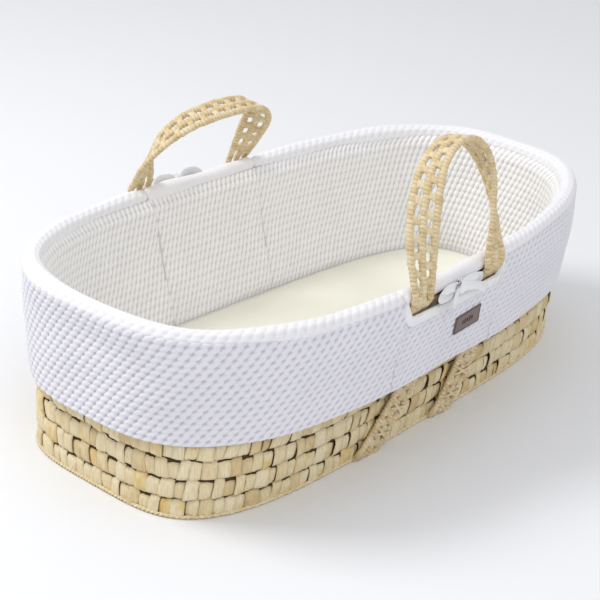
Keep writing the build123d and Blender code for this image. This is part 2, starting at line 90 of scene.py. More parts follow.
# ---- form of the basket ------------------------------------------------------------------------
@dataclass(frozen=True)
class Oval:
    """A squared oval that is a little wider towards -X; its sizes may be arrays."""

    half_length: float
    half_width: float
    squareness: float
    taper: float = 0.08

    def mixed(self, other: "Oval", share: float) -> "Oval":
        """The oval a share of the way to another one."""
        def mix(a: float, b: float) -> float:
            return a + (b - a) * share
        return Oval(mix(self.half_length, other.half_length), mix(self.half_width, other.half_width),
                    mix(self.squareness, other.squareness), self.taper)

    def bare(self, turns: np.ndarray) -> np.ndarray:
        """Points on the oval itself at angles round it."""
        c, s = np.cos(turns), np.sin(turns)
        scale = (np.abs(c) ** self.squareness + np.abs(s) ** self.squareness) ** (-1 / self.squareness)
        x = self.half_length * c * scale
        y = self.half_width * s * scale * (1 - self.taper * x / self.half_length)
        return np.stack([x, y], -1)

    def points(self, turns: np.ndarray, offset: float | np.ndarray = 0.0) -> tuple[np.ndarray, np.ndarray]:
        """Points near the oval and its outward normals.

        Args:
            turns: angles round the oval, in radians.
            offset: distance outside the oval.

        Returns:
            Arrays of XY points and of XY normals.
        """
        along = self.bare(turns + TURN_STEP) - self.bare(turns - TURN_STEP)
        along /= np.linalg.norm(along, axis=-1, keepdims=True)
        normal = np.stack([along[..., 1], -along[..., 0]], -1)
        return self.bare(turns) + normal * np.asarray(offset)[..., None], normal


@dataclass
class BasketForm:
    """The sizes that the whole basket is laid out from, the same as the frame's."""

    base: Oval = Oval(0.389, 0.168, 4.0)
    rim: Oval = Oval(0.392, 0.202, 2.95)
    hem: Oval = Oval(0.402, 0.205, 2.9)
    mattress: Oval = Oval(0.370, 0.148, 4.0)
    wall_height: float = 0.200
    wall_thickness: float = 0.007
    rows: int = 8
    border_top: float = 0.2065
    rim_rise: float = 0.008
    roll_radius: float = 0.011
    roll_outset: float = 0.003
    roll_lift: float = 0.0125
    hem_height: float = 0.101
    hem_drop: float = 0.007
    skirt_outset: float = 0.0175
    skirt_end_outset: float = 0.010
    slit_drop: float = 0.0085
    slit_margin: float = 0.005
    mattress_top: float = 0.0572
    hinge_lift: float = 0.0075
    strap_gap: float = 0.0004
    cord_radius: float = 0.0035
    cord_pitch: float = 0.016
    lining_seams: tuple[float, float] = (-0.115, 0.076)
    feet: dict = field(default_factory=lambda: {Side.NEAR: (-0.090, 0.055), Side.FAR: (-0.108, 0.064)})

    @property
    def roll_height(self) -> float:
        """Height of the roll's centre line at the middle of the long sides."""
        return self.border_top + self.roll_lift

    @property
    def hinge_outset(self) -> float:
        """From the roll's centre line out to where a handle bends."""
        return self.roll_radius + self.strap_gap + self.cord_radius

    def wall(self, height: float | np.ndarray) -> Oval:
        """The wall's outer face at a height."""
        return self.base.mixed(self.rim, height / self.wall_height)

    def skirt(self, height: float | np.ndarray) -> Oval:
        """The skirt's outer face at a height.

        Args:
            height: above the floor.

        Returns:
            The oval there.
        """
        rim = self.wall(self.border_top)
        top = Oval(rim.half_length + self.skirt_end_outset, rim.half_width + self.skirt_outset, rim.squareness)
        middle = self.hem_height - self.hem_drop / 2
        return self.hem.mixed(top, (height - middle) / (self.border_top - middle))

    def border(self, turns: np.ndarray, offset: float | None = None) -> tuple[np.ndarray, np.ndarray]:
        """Points and normals round the border, by default on the roll's centre line."""
        return self.wall(self.border_top).points(turns, self.roll_outset if offset is None else offset)

    def saddle(self, x: np.ndarray) -> np.ndarray:
        """How much higher the rim is at a place along X than at its middle."""
        return self.rim_rise * (x / self.rim.half_length) ** 2

    def turns(self, first: float, last: float, count: int) -> np.ndarray:
        """Angles that are evenly spaced along the rim.

        Args:
            first: the first angle.
            last: the last angle.
            count: how many angles.

        Returns:
            The angles.
        """
        dense = np.linspace(first, last, 2000)
        run = run_along(self.border(dense, 0.0)[0])
        return np.interp(np.linspace(0, run[-1], count), run, dense)

    def turn_at(self, x: float, side: Side) -> float:
        """The angle at which the roll's centre line passes a place along X."""
        dense = np.linspace(0, math.pi, 4000)
        return float(np.interp(-x, -self.border(dense * side.value)[0][:, 0], dense)) * side.value

    def roll_frame(self, x: float, side: Side) -> tuple[Vector, Vector]:
        """The roll's centre line at a place along X.

        Args:
            x: the place.
            side: the long side.

        Returns:
            The point, and the outward level normal there.
        """
        point, normal = self.border(np.array(self.turn_at(x, side)))
        height = self.roll_height + float(self.saddle(point[0]))
        return Vector((point[0], point[1], height)), Vector((normal[0], normal[1], 0.0))

    def face_frame(self, x: float, height: float, side: Side, skirt: bool = False) -> tuple[Vector, Vector]:
        """A place on the wall's or the skirt's outer face.

        Args:
            x: along the basket.
            height: above the floor.
            side: the long side.
            skirt: the skirt's face, not the wall's.

        Returns:
            The point, and the outward normal there.
        """
        def place(at_x: float, at_z: float) -> Vector:
            oval = self.skirt(at_z) if skirt else self.wall(at_z)
            share = (1 - abs(at_x / oval.half_length) ** oval.squareness) ** (1 / oval.squareness)
            y = side.value * oval.half_width * share * (1 - oval.taper * at_x / oval.half_length)
            return Vector((at_x, y, at_z))
        step = 5e-4
        along = place(x + step, height) - place(x - step, height)
        upward = place(x, height + step) - place(x, height - step)
        normal = along.cross(upward).normalized()
        return place(x, height), normal if normal.y * side.value > 0 else -normal


FORM = BasketForm()


# ---- meshes ------------------------------------------------------------------------------------
def clear_selection() -> None:
    """Leave edit mode and deselect everything."""
    if bpy.context.mode != "OBJECT":
        bpy.ops.object.mode_set(mode="OBJECT")
    bpy.ops.object.select_all(action="DESELECT")


def new_piece(name: str, points: np.ndarray, faces: list, tints: np.ndarray | None = None) -> bpy.types.Object:
    """Make a smooth-shaded object from points and faces.

    Args:
        name: the piece's name.
        points: vertex positions, one row each.
        faces: vertex numbers of each face.
        tints: a shade for each vertex, which the finishes read.

    Returns:
        The new object.
    """
    mesh = bpy.data.meshes.new(name)
    mesh.from_pydata([tuple(p) for p in np.asarray(points, float)], [], [tuple(map(int, f)) for f in faces])
    if tints is not None:
        mesh.attributes.new("tint", "FLOAT", "POINT").data.foreach_set("value", np.asarray(tints, np.float32))
    mesh.validate()
    mesh.shade_smooth()
    piece = bpy.data.objects.new(name, mesh)
    bpy.context.scene.collection.objects.link(piece)
    return piece


def take_shape(piece: bpy.types.Object) -> tuple[np.ndarray, list]:
    """Take a modelled object's points and faces, and remove the object."""
    points = np.array([v.co for v in piece.data.vertices])
    faces = [tuple(p.vertices) for p in piece.data.polygons]
    bpy.data.objects.remove(piece)
    return points, faces


def face_outwards(piece: bpy.types.Object) -> None:
    """Turn a closed piece's faces outwards."""
    mesh = bmesh.new()
    mesh.from_mesh(piece.data)
    bmesh.ops.recalc_face_normals(mesh, faces=mesh.faces)
    mesh.to_mesh(piece.data)
    mesh.free()


def round_off(piece: bpy.types.Object) -> None:
    """Round a piece with one applied subdivision."""
    clear_selection()
    bpy.context.view_layer.objects.active = piece
    piece.select_set(True)
    modifier = piece.modifiers.new("round", "SUBSURF")
    modifier.levels = modifier.render_levels = 1
    bpy.ops.object.modifier_apply(modifier="round")


def grid_faces(rows: int, columns: int, start: int = 0, wrap: bool = False, flip: bool = False) -> list:
    """Quads over a grid of points numbered row by row.

    Args:
        rows: rows of points.
        columns: points in a row.
        start: the first point's number.
        wrap: whether the last row joins the first.
        flip: whether the quads face the other way.

    Returns:
        The vertex numbers of each quad.
    """
    faces = []
    for i in range(rows if wrap else rows - 1):
        here, there = start + i * columns, start + ((i + 1) % rows) * columns
        for j in range(columns - 1):
            quad = (here + j, there + j, there + j + 1, here + j + 1)
            faces.append(quad[::-1] if flip else quad)
    return faces


def grid_normals(points: np.ndarray, wrap: bool = False) -> np.ndarray:
    """Unit normals of a grid of points, along the cross of its two directions."""
    padded = np.concatenate([points[-1:], points, points[:1]]) if wrap else points
    along = np.gradient(padded, axis=0)[1:-1] if wrap else np.gradient(points, axis=0)
    normals = np.cross(along, np.gradient(points, axis=1))
    return normals / np.maximum(np.linalg.norm(normals, axis=-1, keepdims=True), 1e-12)


def tube(rings: np.ndarray, wrap: bool = False) -> tuple[np.ndarray, list]:
    """A closed tube through rings of points.

    Args:
        rings: the rings, each with the same number of points.
        wrap: whether the last ring joins the first, with no end faces.

    Returns:
        The points and the faces.
    """
    count, sides = rings.shape[:2]
    faces = []
    for i in range(count if wrap else count - 1):
        a, b = i * sides, (i + 1) % count * sides
        for j in range(sides):
            k = (j + 1) % sides
            faces.append((a + j, a + k, b + k, b + j))
    if not wrap:
        faces += [tuple(range(sides))[::-1], tuple(range((count - 1) * sides, count * sides))]
    return rings.reshape(-1, 3), faces


def cloth_panel(name: str, points: np.ndarray, relief: np.ndarray, thickness: float,
                tint: np.ndarray) -> bpy.types.Object:
    """A closed panel of cloth: a fine front with relief, and a plain back.

    Args:
        name: the piece's name.
        points: grid of places on the front, along the panel and then up it.
        relief: how far each place stands out along the normal.
        thickness: from the front to the back.
        tint: how far out of the crevices each place is, from 0 to 1; the finish paints shade into the crevices from
            it.

    Returns:
        The panel.
    """
    normals = grid_normals(points)
    count_u, count_v = points.shape[:2]
    front = (points + normals * relief[..., None]).reshape(-1, 3)
    levels = [0, count_v // 3, 2 * count_v // 3, count_v - 1]
    back = (points - normals * thickness)[:, levels].reshape(-1, 3)
    offset, width = count_u * count_v, len(levels)
    faces = grid_faces(count_u, count_v)
    faces += grid_faces(count_u, width, offset, flip=True)
    for i in range(count_u - 1):
        a, b = i * count_v, (i + 1) * count_v
        c, d = offset + i * width, offset + (i + 1) * width
        faces.append((a, c, d, b))
        faces.append((a + count_v - 1, b + count_v - 1, d + width - 1, c + width - 1))
    first, last = (count_u - 1) * count_v, offset + (count_u - 1) * width
    faces.append([*range(count_v), *range(offset + width - 1, offset - 1, -1)])
    faces.append([*range(first + count_v - 1, first - 1, -1), *range(last, last + width)])
    tints = np.concatenate([tint.ravel(), np.full(len(back), 0.8)])
    return new_piece(name, np.concatenate([front, back]), faces, tints)


@dataclass
class Bundle:
    """Loose shapes that are gathered into one mesh."""

    points: list = field(default_factory=list)
    faces: list = field(default_factory=list)
    tints: list = field(default_factory=list)
    count: int = 0

    def add(self, points: np.ndarray, faces: list, tints: np.ndarray) -> None:
        """Add a shape and a tint for each of its vertices."""
        self.points.append(points)
        self.faces.extend([tuple(i + self.count for i in face) for face in faces])
        self.tints.append(tints)
        self.count += len(points)

    def piece(self, name: str) -> bpy.types.Object:
        """The gathered shapes as one object."""
        return new_piece(name, np.concatenate(self.points), self.faces, np.concatenate(self.tints))


def smooth_route(points: list[Vector], per_span: int) -> list[Vector]:
    """Points on a smooth curve through a list of points.

    Args:
        points: what the curve passes through.
        per_span: how many points each stretch is given.

    Returns:
        The curve's points.
    """
    padded = [points[0] * 2 - points[1], *points, points[-1] * 2 - points[-2]]
    route = []
    for a, b, c, d in zip(padded, padded[1:], padded[2:], padded[3:]):
        for step in range(per_span):
            t = step / per_span
            route.append(b + ((c - a) * t + (a * 2 - b * 5 + c * 4 - d) * t ** 2
                              + (b * 3 - a - c * 3 + d) * t ** 3) * 0.5)
    return [*route, points[-1]]


def heading(route: list[Vector], index: int) -> Vector:
    """The direction of travel at one place of a route."""
    return (route[min(index + 1, len(route) - 1)] - route[max(index - 1, 0)]).normalized()


def resample(frames: list[Frame], spacing: float) -> list[tuple[float, Frame]]:
    """Frames at even distances along a route.

    Args:
        frames: place, width direction and normal at each point of the route.
        spacing: the distance between the new frames.

    Returns:
        Each new frame with its distance along the route.
    """
    run = run_along(np.array([f[0] for f in frames]))
    wanted = np.linspace(0, run[-1], max(3, int(run[-1] / spacing)))
    columns = []
    for k in range(3):
        values = np.array([f[k] for f in frames])
        columns.append(np.stack([np.interp(wanted, run, values[:, a]) for a in range(3)], -1))
    return [(s, (Vector(p), Vector(w).normalized(), Vector(n).normalized()))
            for s, p, w, n in zip(wanted, *columns)]


@dataclass
class WrappedCord:
    """A core wrapped with palm leaf: a cord with one ridge for each turn of the leaf, and painted shade in the
    grooves between turns.
    """

    radius: float
    seed: int
    flatten: float = 1.0
    wrap_pitch: float = 0.0048
    ridge: float = 0.30
    sides: int = 12
    unevenness: float = 0.05
    skew: float = 0.10

    def add_to(self, bundle: Bundle, frames: list[Frame], shift: float = 0.0) -> None:
        """Add the cord to a bundle.

        Args:
            bundle: what the cord is added to.
            frames: place, width direction and normal along the route.
            shift: how far the cord lies to the side of the route.
        """
        rng = np.random.default_rng(self.seed + int(shift * 1e4) % 97)
        stations = resample(frames, self.wrap_pitch / 6)
        wraps = rng.random(int(stations[-1][0] / self.wrap_pitch) + 4)
        wobble = rng.normal(0, self.unevenness, len(wraps))
        angles = np.linspace(0, FULL_TURN, self.sides, endpoint=False)
        rings, tints = [], []
        for s, (place, across, normal) in stations:
            turn = s / self.wrap_pitch + angles * self.skew + 1
            index = np.floor(turn).astype(int)
            bulge = np.sqrt(np.abs(np.sin(math.pi * turn)))
            swell = 1 + self.ridge * (bulge - 0.8) + wobble[index]
            u = shift + self.radius * swell * np.cos(angles)
            v = self.radius * self.flatten * swell * np.sin(angles)
            rings.append(np.array(place) + np.outer(u, across) + np.outer(v, normal))
            # Tint: a random tone for each turn of the leaf, times painted shade that darkens the grooves between
            # turns.
            tints.append((0.35 + 0.65 * wraps[index]) * (0.10 + 0.90 * bulge))
        bundle.add(*tube(np.array(rings)), np.concatenate(tints))


@dataclass
class LatticeTie:
    """The short palm web that ties one cord to the next, narrow in its middle."""

    thickness: float = 0.0046
    waist: float = 0.52
    span: float = 0.0100
    length: float = 0.0135

    def template(self) -> tuple[np.ndarray, list]:
        """Model one tie, X across the cords, Y along them and Z through them.

        Returns:
            Its points and faces.
        """
        clear_selection()
        bpy.ops.mesh.primitive_cube_add(size=1.0, location=(0, 0, 0))
        bpy.ops.transform.resize(value=(self.span, self.length, self.thickness))
        bpy.ops.object.transform_apply(location=True, rotation=True, scale=True)
        bpy.ops.object.mode_set(mode="EDIT")
        bpy.ops.mesh.select_all(action="SELECT")
        bpy.ops.mesh.subdivide(number_cuts=2, smoothness=0.0)
        bpy.ops.object.mode_set(mode="OBJECT")
        points, faces = take_shape(bpy.context.object)
        points[:, 1] *= 1 - (1 - self.waist) * (1 - (2 * points[:, 0] / self.span) ** 2)
        points[:, 2] *= 0.8 + 0.4 * np.cos(points[:, 1] / self.length * math.pi)
        return points, faces

    def add_to(self, bundle: Bundle, frames: list[Frame], pitch: float, spacing: float, seed: int) -> None:
        """Add two staggered rows of ties between three cords.

        Args:
            bundle: what the ties are added to.
            frames: the route of the middle cord.
            pitch: from one cord to the next.
            spacing: from one tie to the next.
            seed: starts the unevenness.
        """
        rng = np.random.default_rng(seed)
        points, faces = self.template()
        step = 0.001
        stations = resample(frames, step)
        for row, shift in enumerate((-pitch / 2, pitch / 2)):
            distance = spacing * (0.3 + 0.5 * row)
            while distance < stations[-1][0] - 0.3 * spacing:
                _, (place, across, normal) = stations[min(int(distance / step), len(stations) - 1)]
                along = points[:, 1] + points[:, 0] * rng.normal(0.25, 0.12)
                moved = np.array(place + across * shift) + np.outer(points[:, 0], across)
                moved += np.outer(along, across.cross(normal)) + np.outer(points[:, 2], normal)
                bundle.add(moved, faces, np.full(len(points), rng.uniform(0.35, 0.95)))
                distance += spacing * rng.uniform(0.92, 1.08)


# ---- finishes ----------------------------------------------------------------------------------
class Nodes:
    """A node tree being laid out."""

    def __init__(self, tree: bpy.types.NodeTree) -> None:
        """Start on an empty tree."""
        self.tree = tree
        tree.nodes.clear()

    def add(self, kind: str, inputs: dict | None = None, **settings: object) -> bpy.types.Node:
        """Add a node.

        Args:
            kind: the node's type.
            inputs: a value or a socket to link, for each input.
            settings: the node's own properties.

        Returns:
            The node.
        """
        node = self.tree.nodes.new(kind)
        for key, value in settings.items():
            setattr(node, key, value)
        for key, value in (inputs or {}).items():
            if isinstance(value, bpy.types.NodeSocket):
                self.tree.links.new(value, node.inputs[key])
            else:
                node.inputs[key].default_value = value
        return node

    def ramp(self, source: bpy.types.NodeSocket, stops: tuple) -> bpy.types.NodeSocket:
        """A colour ramp over a value.

        Args:
            source: the value.
            stops: (position, colour) pairs.

        Returns:
            The colour.
        """
        node = self.add("ShaderNodeValToRGB", {"Fac": source})
        ramp = node.color_ramp
        while len(ramp.elements) < len(stops):
            ramp.elements.new(0.5)
        for element, (position, colour) in zip(ramp.elements, stops):
            element.position = position
            element.color = (*colour, 1.0)
        return node.outputs["Color"]

    def multiply(self, first: bpy.types.NodeSocket, second: bpy.types.NodeSocket,
                 share: float) -> bpy.types.NodeSocket:
        """One colour multiplied by a share of another."""
        mix = self.add("ShaderNodeMix", {0: share, 6: first, 7: second}, data_type="RGBA", blend_type="MULTIPLY")
        return mix.outputs[2]


def fibre_group() -> bpy.types.NodeTree:
    """The group that every finish shares, built once: fine fibres and a soft mottle.

    Returns:
        A group with inputs Fibre Scale, Detail and Mottle Scale and outputs Mottle and Fibre.
    """
    name = "fibre_and_mottle"
    if name in bpy.data.node_groups:
        return bpy.data.node_groups[name]
    tree = bpy.data.node_groups.new(name, "ShaderNodeTree")
    for output in ("Mottle", "Fibre"):
        tree.interface.new_socket(output, in_out="OUTPUT", socket_type="NodeSocketFloat")
    for key, kind in (("Fibre Scale", "Vector"), ("Detail", "Float"), ("Mottle Scale", "Float")):
        tree.interface.new_socket(key, in_out="INPUT", socket_type="NodeSocket" + kind)
    nodes = Nodes(tree)
    given = nodes.add("NodeGroupInput").outputs
    place = nodes.add("ShaderNodeTexCoord").outputs["Object"]
    stretched = nodes.add("ShaderNodeMapping", {"Vector": place, "Scale": given["Fibre Scale"]}).outputs["Vector"]
    fibre = nodes.add("ShaderNodeTexNoise", {"Vector": stretched, "Scale": 1.0, "Detail": given["Detail"]})
    mottle = nodes.add("ShaderNodeTexNoise", {"Vector": place, "Scale": given["Mottle Scale"], "Detail": 3.0})
    nodes.add("NodeGroupOutput", {"Mottle": mottle.outputs["Fac"], "Fibre": fibre.outputs["Fac"]})
    return tree


def start_material(name: str, fibre_scale: tuple, detail: float, mottle_scale: float) -> tuple:
    """Begin a material with the shared group in it.

    Args:
        name: the material's name.
        fibre_scale: how fine the fibres are along X, Y and Z.
        detail: the fibres' detail.
        mottle_scale: how fine the mottle is.

    Returns:
        The material, its nodes, and the mottle and fibre sockets.
    """
    material = bpy.data.materials.new(name)
    material.use_nodes = True
    nodes = Nodes(material.node_tree)
    inputs = {"Fibre Scale": fibre_scale, "Detail": detail, "Mottle Scale": mottle_scale}
    group = nodes.tree.nodes.new("ShaderNodeGroup")
    group.node_tree = fibre_group()
    for key, value in inputs.items():
        group.inputs[key].default_value = value
    return material, nodes, group.outputs["Mottle"], group.outputs["Fibre"]


def finish_material(nodes: Nodes, colour: bpy.types.NodeSocket, fibre: bpy.types.NodeSocket,
                    rough: bpy.types.NodeSocket, bump: tuple[float, float]) -> bpy.types.Node:
    """Lay out a material's bump, shader and output.

    Args:
        nodes: the material's nodes.
        colour: the base colour.
        fibre: the height of the bump.
        rough: the roughness.
        bump: the bump's strength and distance.

    Returns:
        The shader.
    """
    raised = nodes.add("ShaderNodeBump", {"Height": fibre, "Strength": bump[0], "Distance": bump[1]})
    shader = nodes.add("ShaderNodeBsdfPrincipled", {"Base Color": colour, "Roughness": rough,
                                                    "Normal": raised.outputs["Normal"]})
    nodes.add("ShaderNodeOutputMaterial", {"Surface": shader.outputs["BSDF"]})
    return shader


@dataclass(frozen=True)
class PalmFinish:
    """Dry palm leaf: straw colours that change from leaf to leaf, darker where the tint attribute carries painted
    shade, and a fibrous grain.
    """

    name: str
    stops: tuple
    fibre_scale: tuple = (900.0, 900.0, 60.0)
    roughness: float = 0.62
    bump: float = 0.25

    def build(self) -> bpy.types.Material:
        """Lay out the material.

        Returns:
            The material.
        """
        material, nodes, mottle, fibre = start_material(self.name, self.fibre_scale, 4.0, 60.0)
        tint = nodes.add("ShaderNodeAttribute", attribute_name="tint").outputs["Fac"]
        faint = nodes.add("ShaderNodeMath", {0: mottle, 1: 0.45}, operation="MULTIPLY").outputs[0]
        shade = nodes.add("ShaderNodeMath", {0: tint, 1: 0.75, 2: faint}, operation="MULTIPLY_ADD").outputs[0]
        grain = nodes.ramp(fibre, ((0.30, (0.62, 0.56, 0.46)), (0.62, (1.0, 1.0, 1.0))))
        colour = nodes.multiply(nodes.ramp(shade, self.stops), grain, 0.55)
        rough = nodes.add("ShaderNodeMapRange", {"Value": fibre, "To Min": self.roughness - 0.12,
                                                 "To Max": self.roughness + 0.12}).outputs[0]
        shader = finish_material(nodes, colour, fibre, rough, (self.bump, 0.0006))
        shader.inputs["Specular IOR Level"].default_value = 0.35
        return material


@dataclass(frozen=True)
class ClothFinish:
    """Cloth: one colour with a faint mottle, a fine yarn bump, a soft sheen and, where given, painted shade in the
    crevices.
    """

    name: str
    colour: tuple
    shade: tuple
    yarn_scale: float = 900.0
    bump: float = 0.35
    sheen: float = 0.15
    roughness: float = 0.9
    crevice_shade: tuple | None = None

    def build(self) -> bpy.types.Material:
        """Lay out the material.

        Returns:
            The material.
        """
        scale = (self.yarn_scale, self.yarn_scale, self.yarn_scale * 0.7)
        material, nodes, mottle, fibre = start_material(self.name, scale, 3.0, 22.0)
        mixed = nodes.add("ShaderNodeMath", {0: mottle, 1: fibre}, operation="MULTIPLY").outputs[0]
        colour = nodes.ramp(mixed, ((0.08, self.shade), (0.34, self.colour)))
        # Painted shade: the colour is darkened towards the crevices between stitches, read from the tint attribute.
        if self.crevice_shade:
            depth = nodes.add("ShaderNodeAttribute", attribute_name="tint").outputs["Fac"]
            colour = nodes.multiply(colour, nodes.ramp(depth, ((0.12, self.crevice_shade), (0.62, (1.0, 1.0, 1.0)))), 1.0)
        rough = nodes.add("ShaderNodeMapRange", {"Value": mottle, "To Min": self.roughness - 0.08,
                                                 "To Max": self.roughness + 0.05}).outputs[0]
        shader = finish_material(nodes, colour, fibre, rough, (self.bump, 0.0005))
        shader.inputs["Sheen Weight"].default_value = self.sheen
        shader.inputs["Specular IOR Level"].default_value = 0.2
        return material


LEAF_STOPS = ((0.12, (0.50, 0.34, 0.15)), (0.30, (0.70, 0.54, 0.29)), (0.52, (0.80, 0.67, 0.41)),
              (0.80, (0.86, 0.76, 0.53)), (0.97, (0.77, 0.55, 0.20)))
# The darkest stop colours the painted shade in the cords' grooves; the rest are the wrap's straw tones.
CORD_STOPS = ((0.06, (0.15, 0.070, 0.022)), (0.26, (0.52, 0.36, 0.16)), (0.50, (0.72, 0.57, 0.33)),
              (0.95, (0.83, 0.72, 0.50)))
# Painted shade: near-black colours for the sheet behind the rows, standing for the shade in the gaps between leaves.
GAP_SHADE_STOPS = ((0.2, (0.030, 0.016, 0.006)), (0.8, (0.11, 0.062, 0.022)))
BROWN_STOPS = ((0.2, (0.10, 0.042, 0.014)), (0.8, (0.27, 0.13, 0.045)))


class Finish(Enum):
    """The finishes that the pieces wear."""

    LEAF = PalmFinish("palm_leaf", LEAF_STOPS)
    CORD = PalmFinish("palm_wrap", CORD_STOPS, (700.0, 700.0, 700.0), 0.55, 0.3)
    BACKING = PalmFinish("palm_gap_shade", GAP_SHADE_STOPS)
    BORDER = PalmFinish("palm_border", BROWN_STOPS)
    # Painted light and shade: the skirt, roll and lining are one white knit; the skirt's colour is painted darker as
    # shade, and the roll's and the lining's lighter as light.
    KNIT = ClothFinish("white_knit_painted_shade", (0.79, 0.78, 0.82), (0.75, 0.74, 0.785), crevice_shade=(0.78, 0.76, 0.83))
    ROLL = ClothFinish("roll_knit_painted_light", (0.86, 0.855, 0.88), (0.83, 0.825, 0.85), crevice_shade=(0.84, 0.83, 0.87))
    LINING = ClothFinish("lining_knit_painted_light", (0.90, 0.89, 0.89), (0.87, 0.86, 0.855), crevice_shade=(0.80, 0.775, 0.77))
    JERSEY = ClothFinish("white_jersey", (0.87, 0.87, 0.885), (0.80, 0.80, 0.82), 1600.0, 0.2)
    SHEET = ClothFinish("cream_sheet", (0.90, 0.885, 0.765), (0.87, 0.855, 0.735), 2200.0, 0.12, 0.1)
    FOAM = ClothFinish("foam", (0.82, 0.80, 0.72), (0.70, 0.68, 0.60), 500.0, 0.5, 0.0)
    LABEL = ClothFinish("taupe_label", (0.235, 0.185, 0.178), (0.185, 0.145, 0.140), 1500.0, 0.3, 0.05, 0.7)
    LABEL_EDGE = ClothFinish("taupe_edge", (0.075, 0.055, 0.052), (0.05, 0.036, 0.034), 1500.0, 0.3, 0.05, 0.7)


BUILT: dict[Finish, bpy.types.Material] = {}


def dress(piece: bpy.types.Object, finish: Finish) -> None:
    """Give a piece its finish in place of any it has."""
    if finish not in BUILT:
        BUILT[finish] = finish.value.build()
    piece.data.materials.clear()
    piece.data.materials.append(BUILT[finish])


def place(piece: bpy.types.Object, body: str, slot: str, finish: Finish, *nodes: str) -> None:
    """Dress a piece and put it on a body.

    Args:
        piece: the piece.
        body: the body that it rides on.
        slot: the slot that its finish belongs to; not used.
        finish: what it wears.
        nodes: the nodes that it stands for.
    """
    dress(piece, finish)
    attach(piece, body)
    if nodes:
        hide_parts(*nodes)
    log.info("%s rides on %s: %d faces", piece.name, body, len(piece.data.polygons))


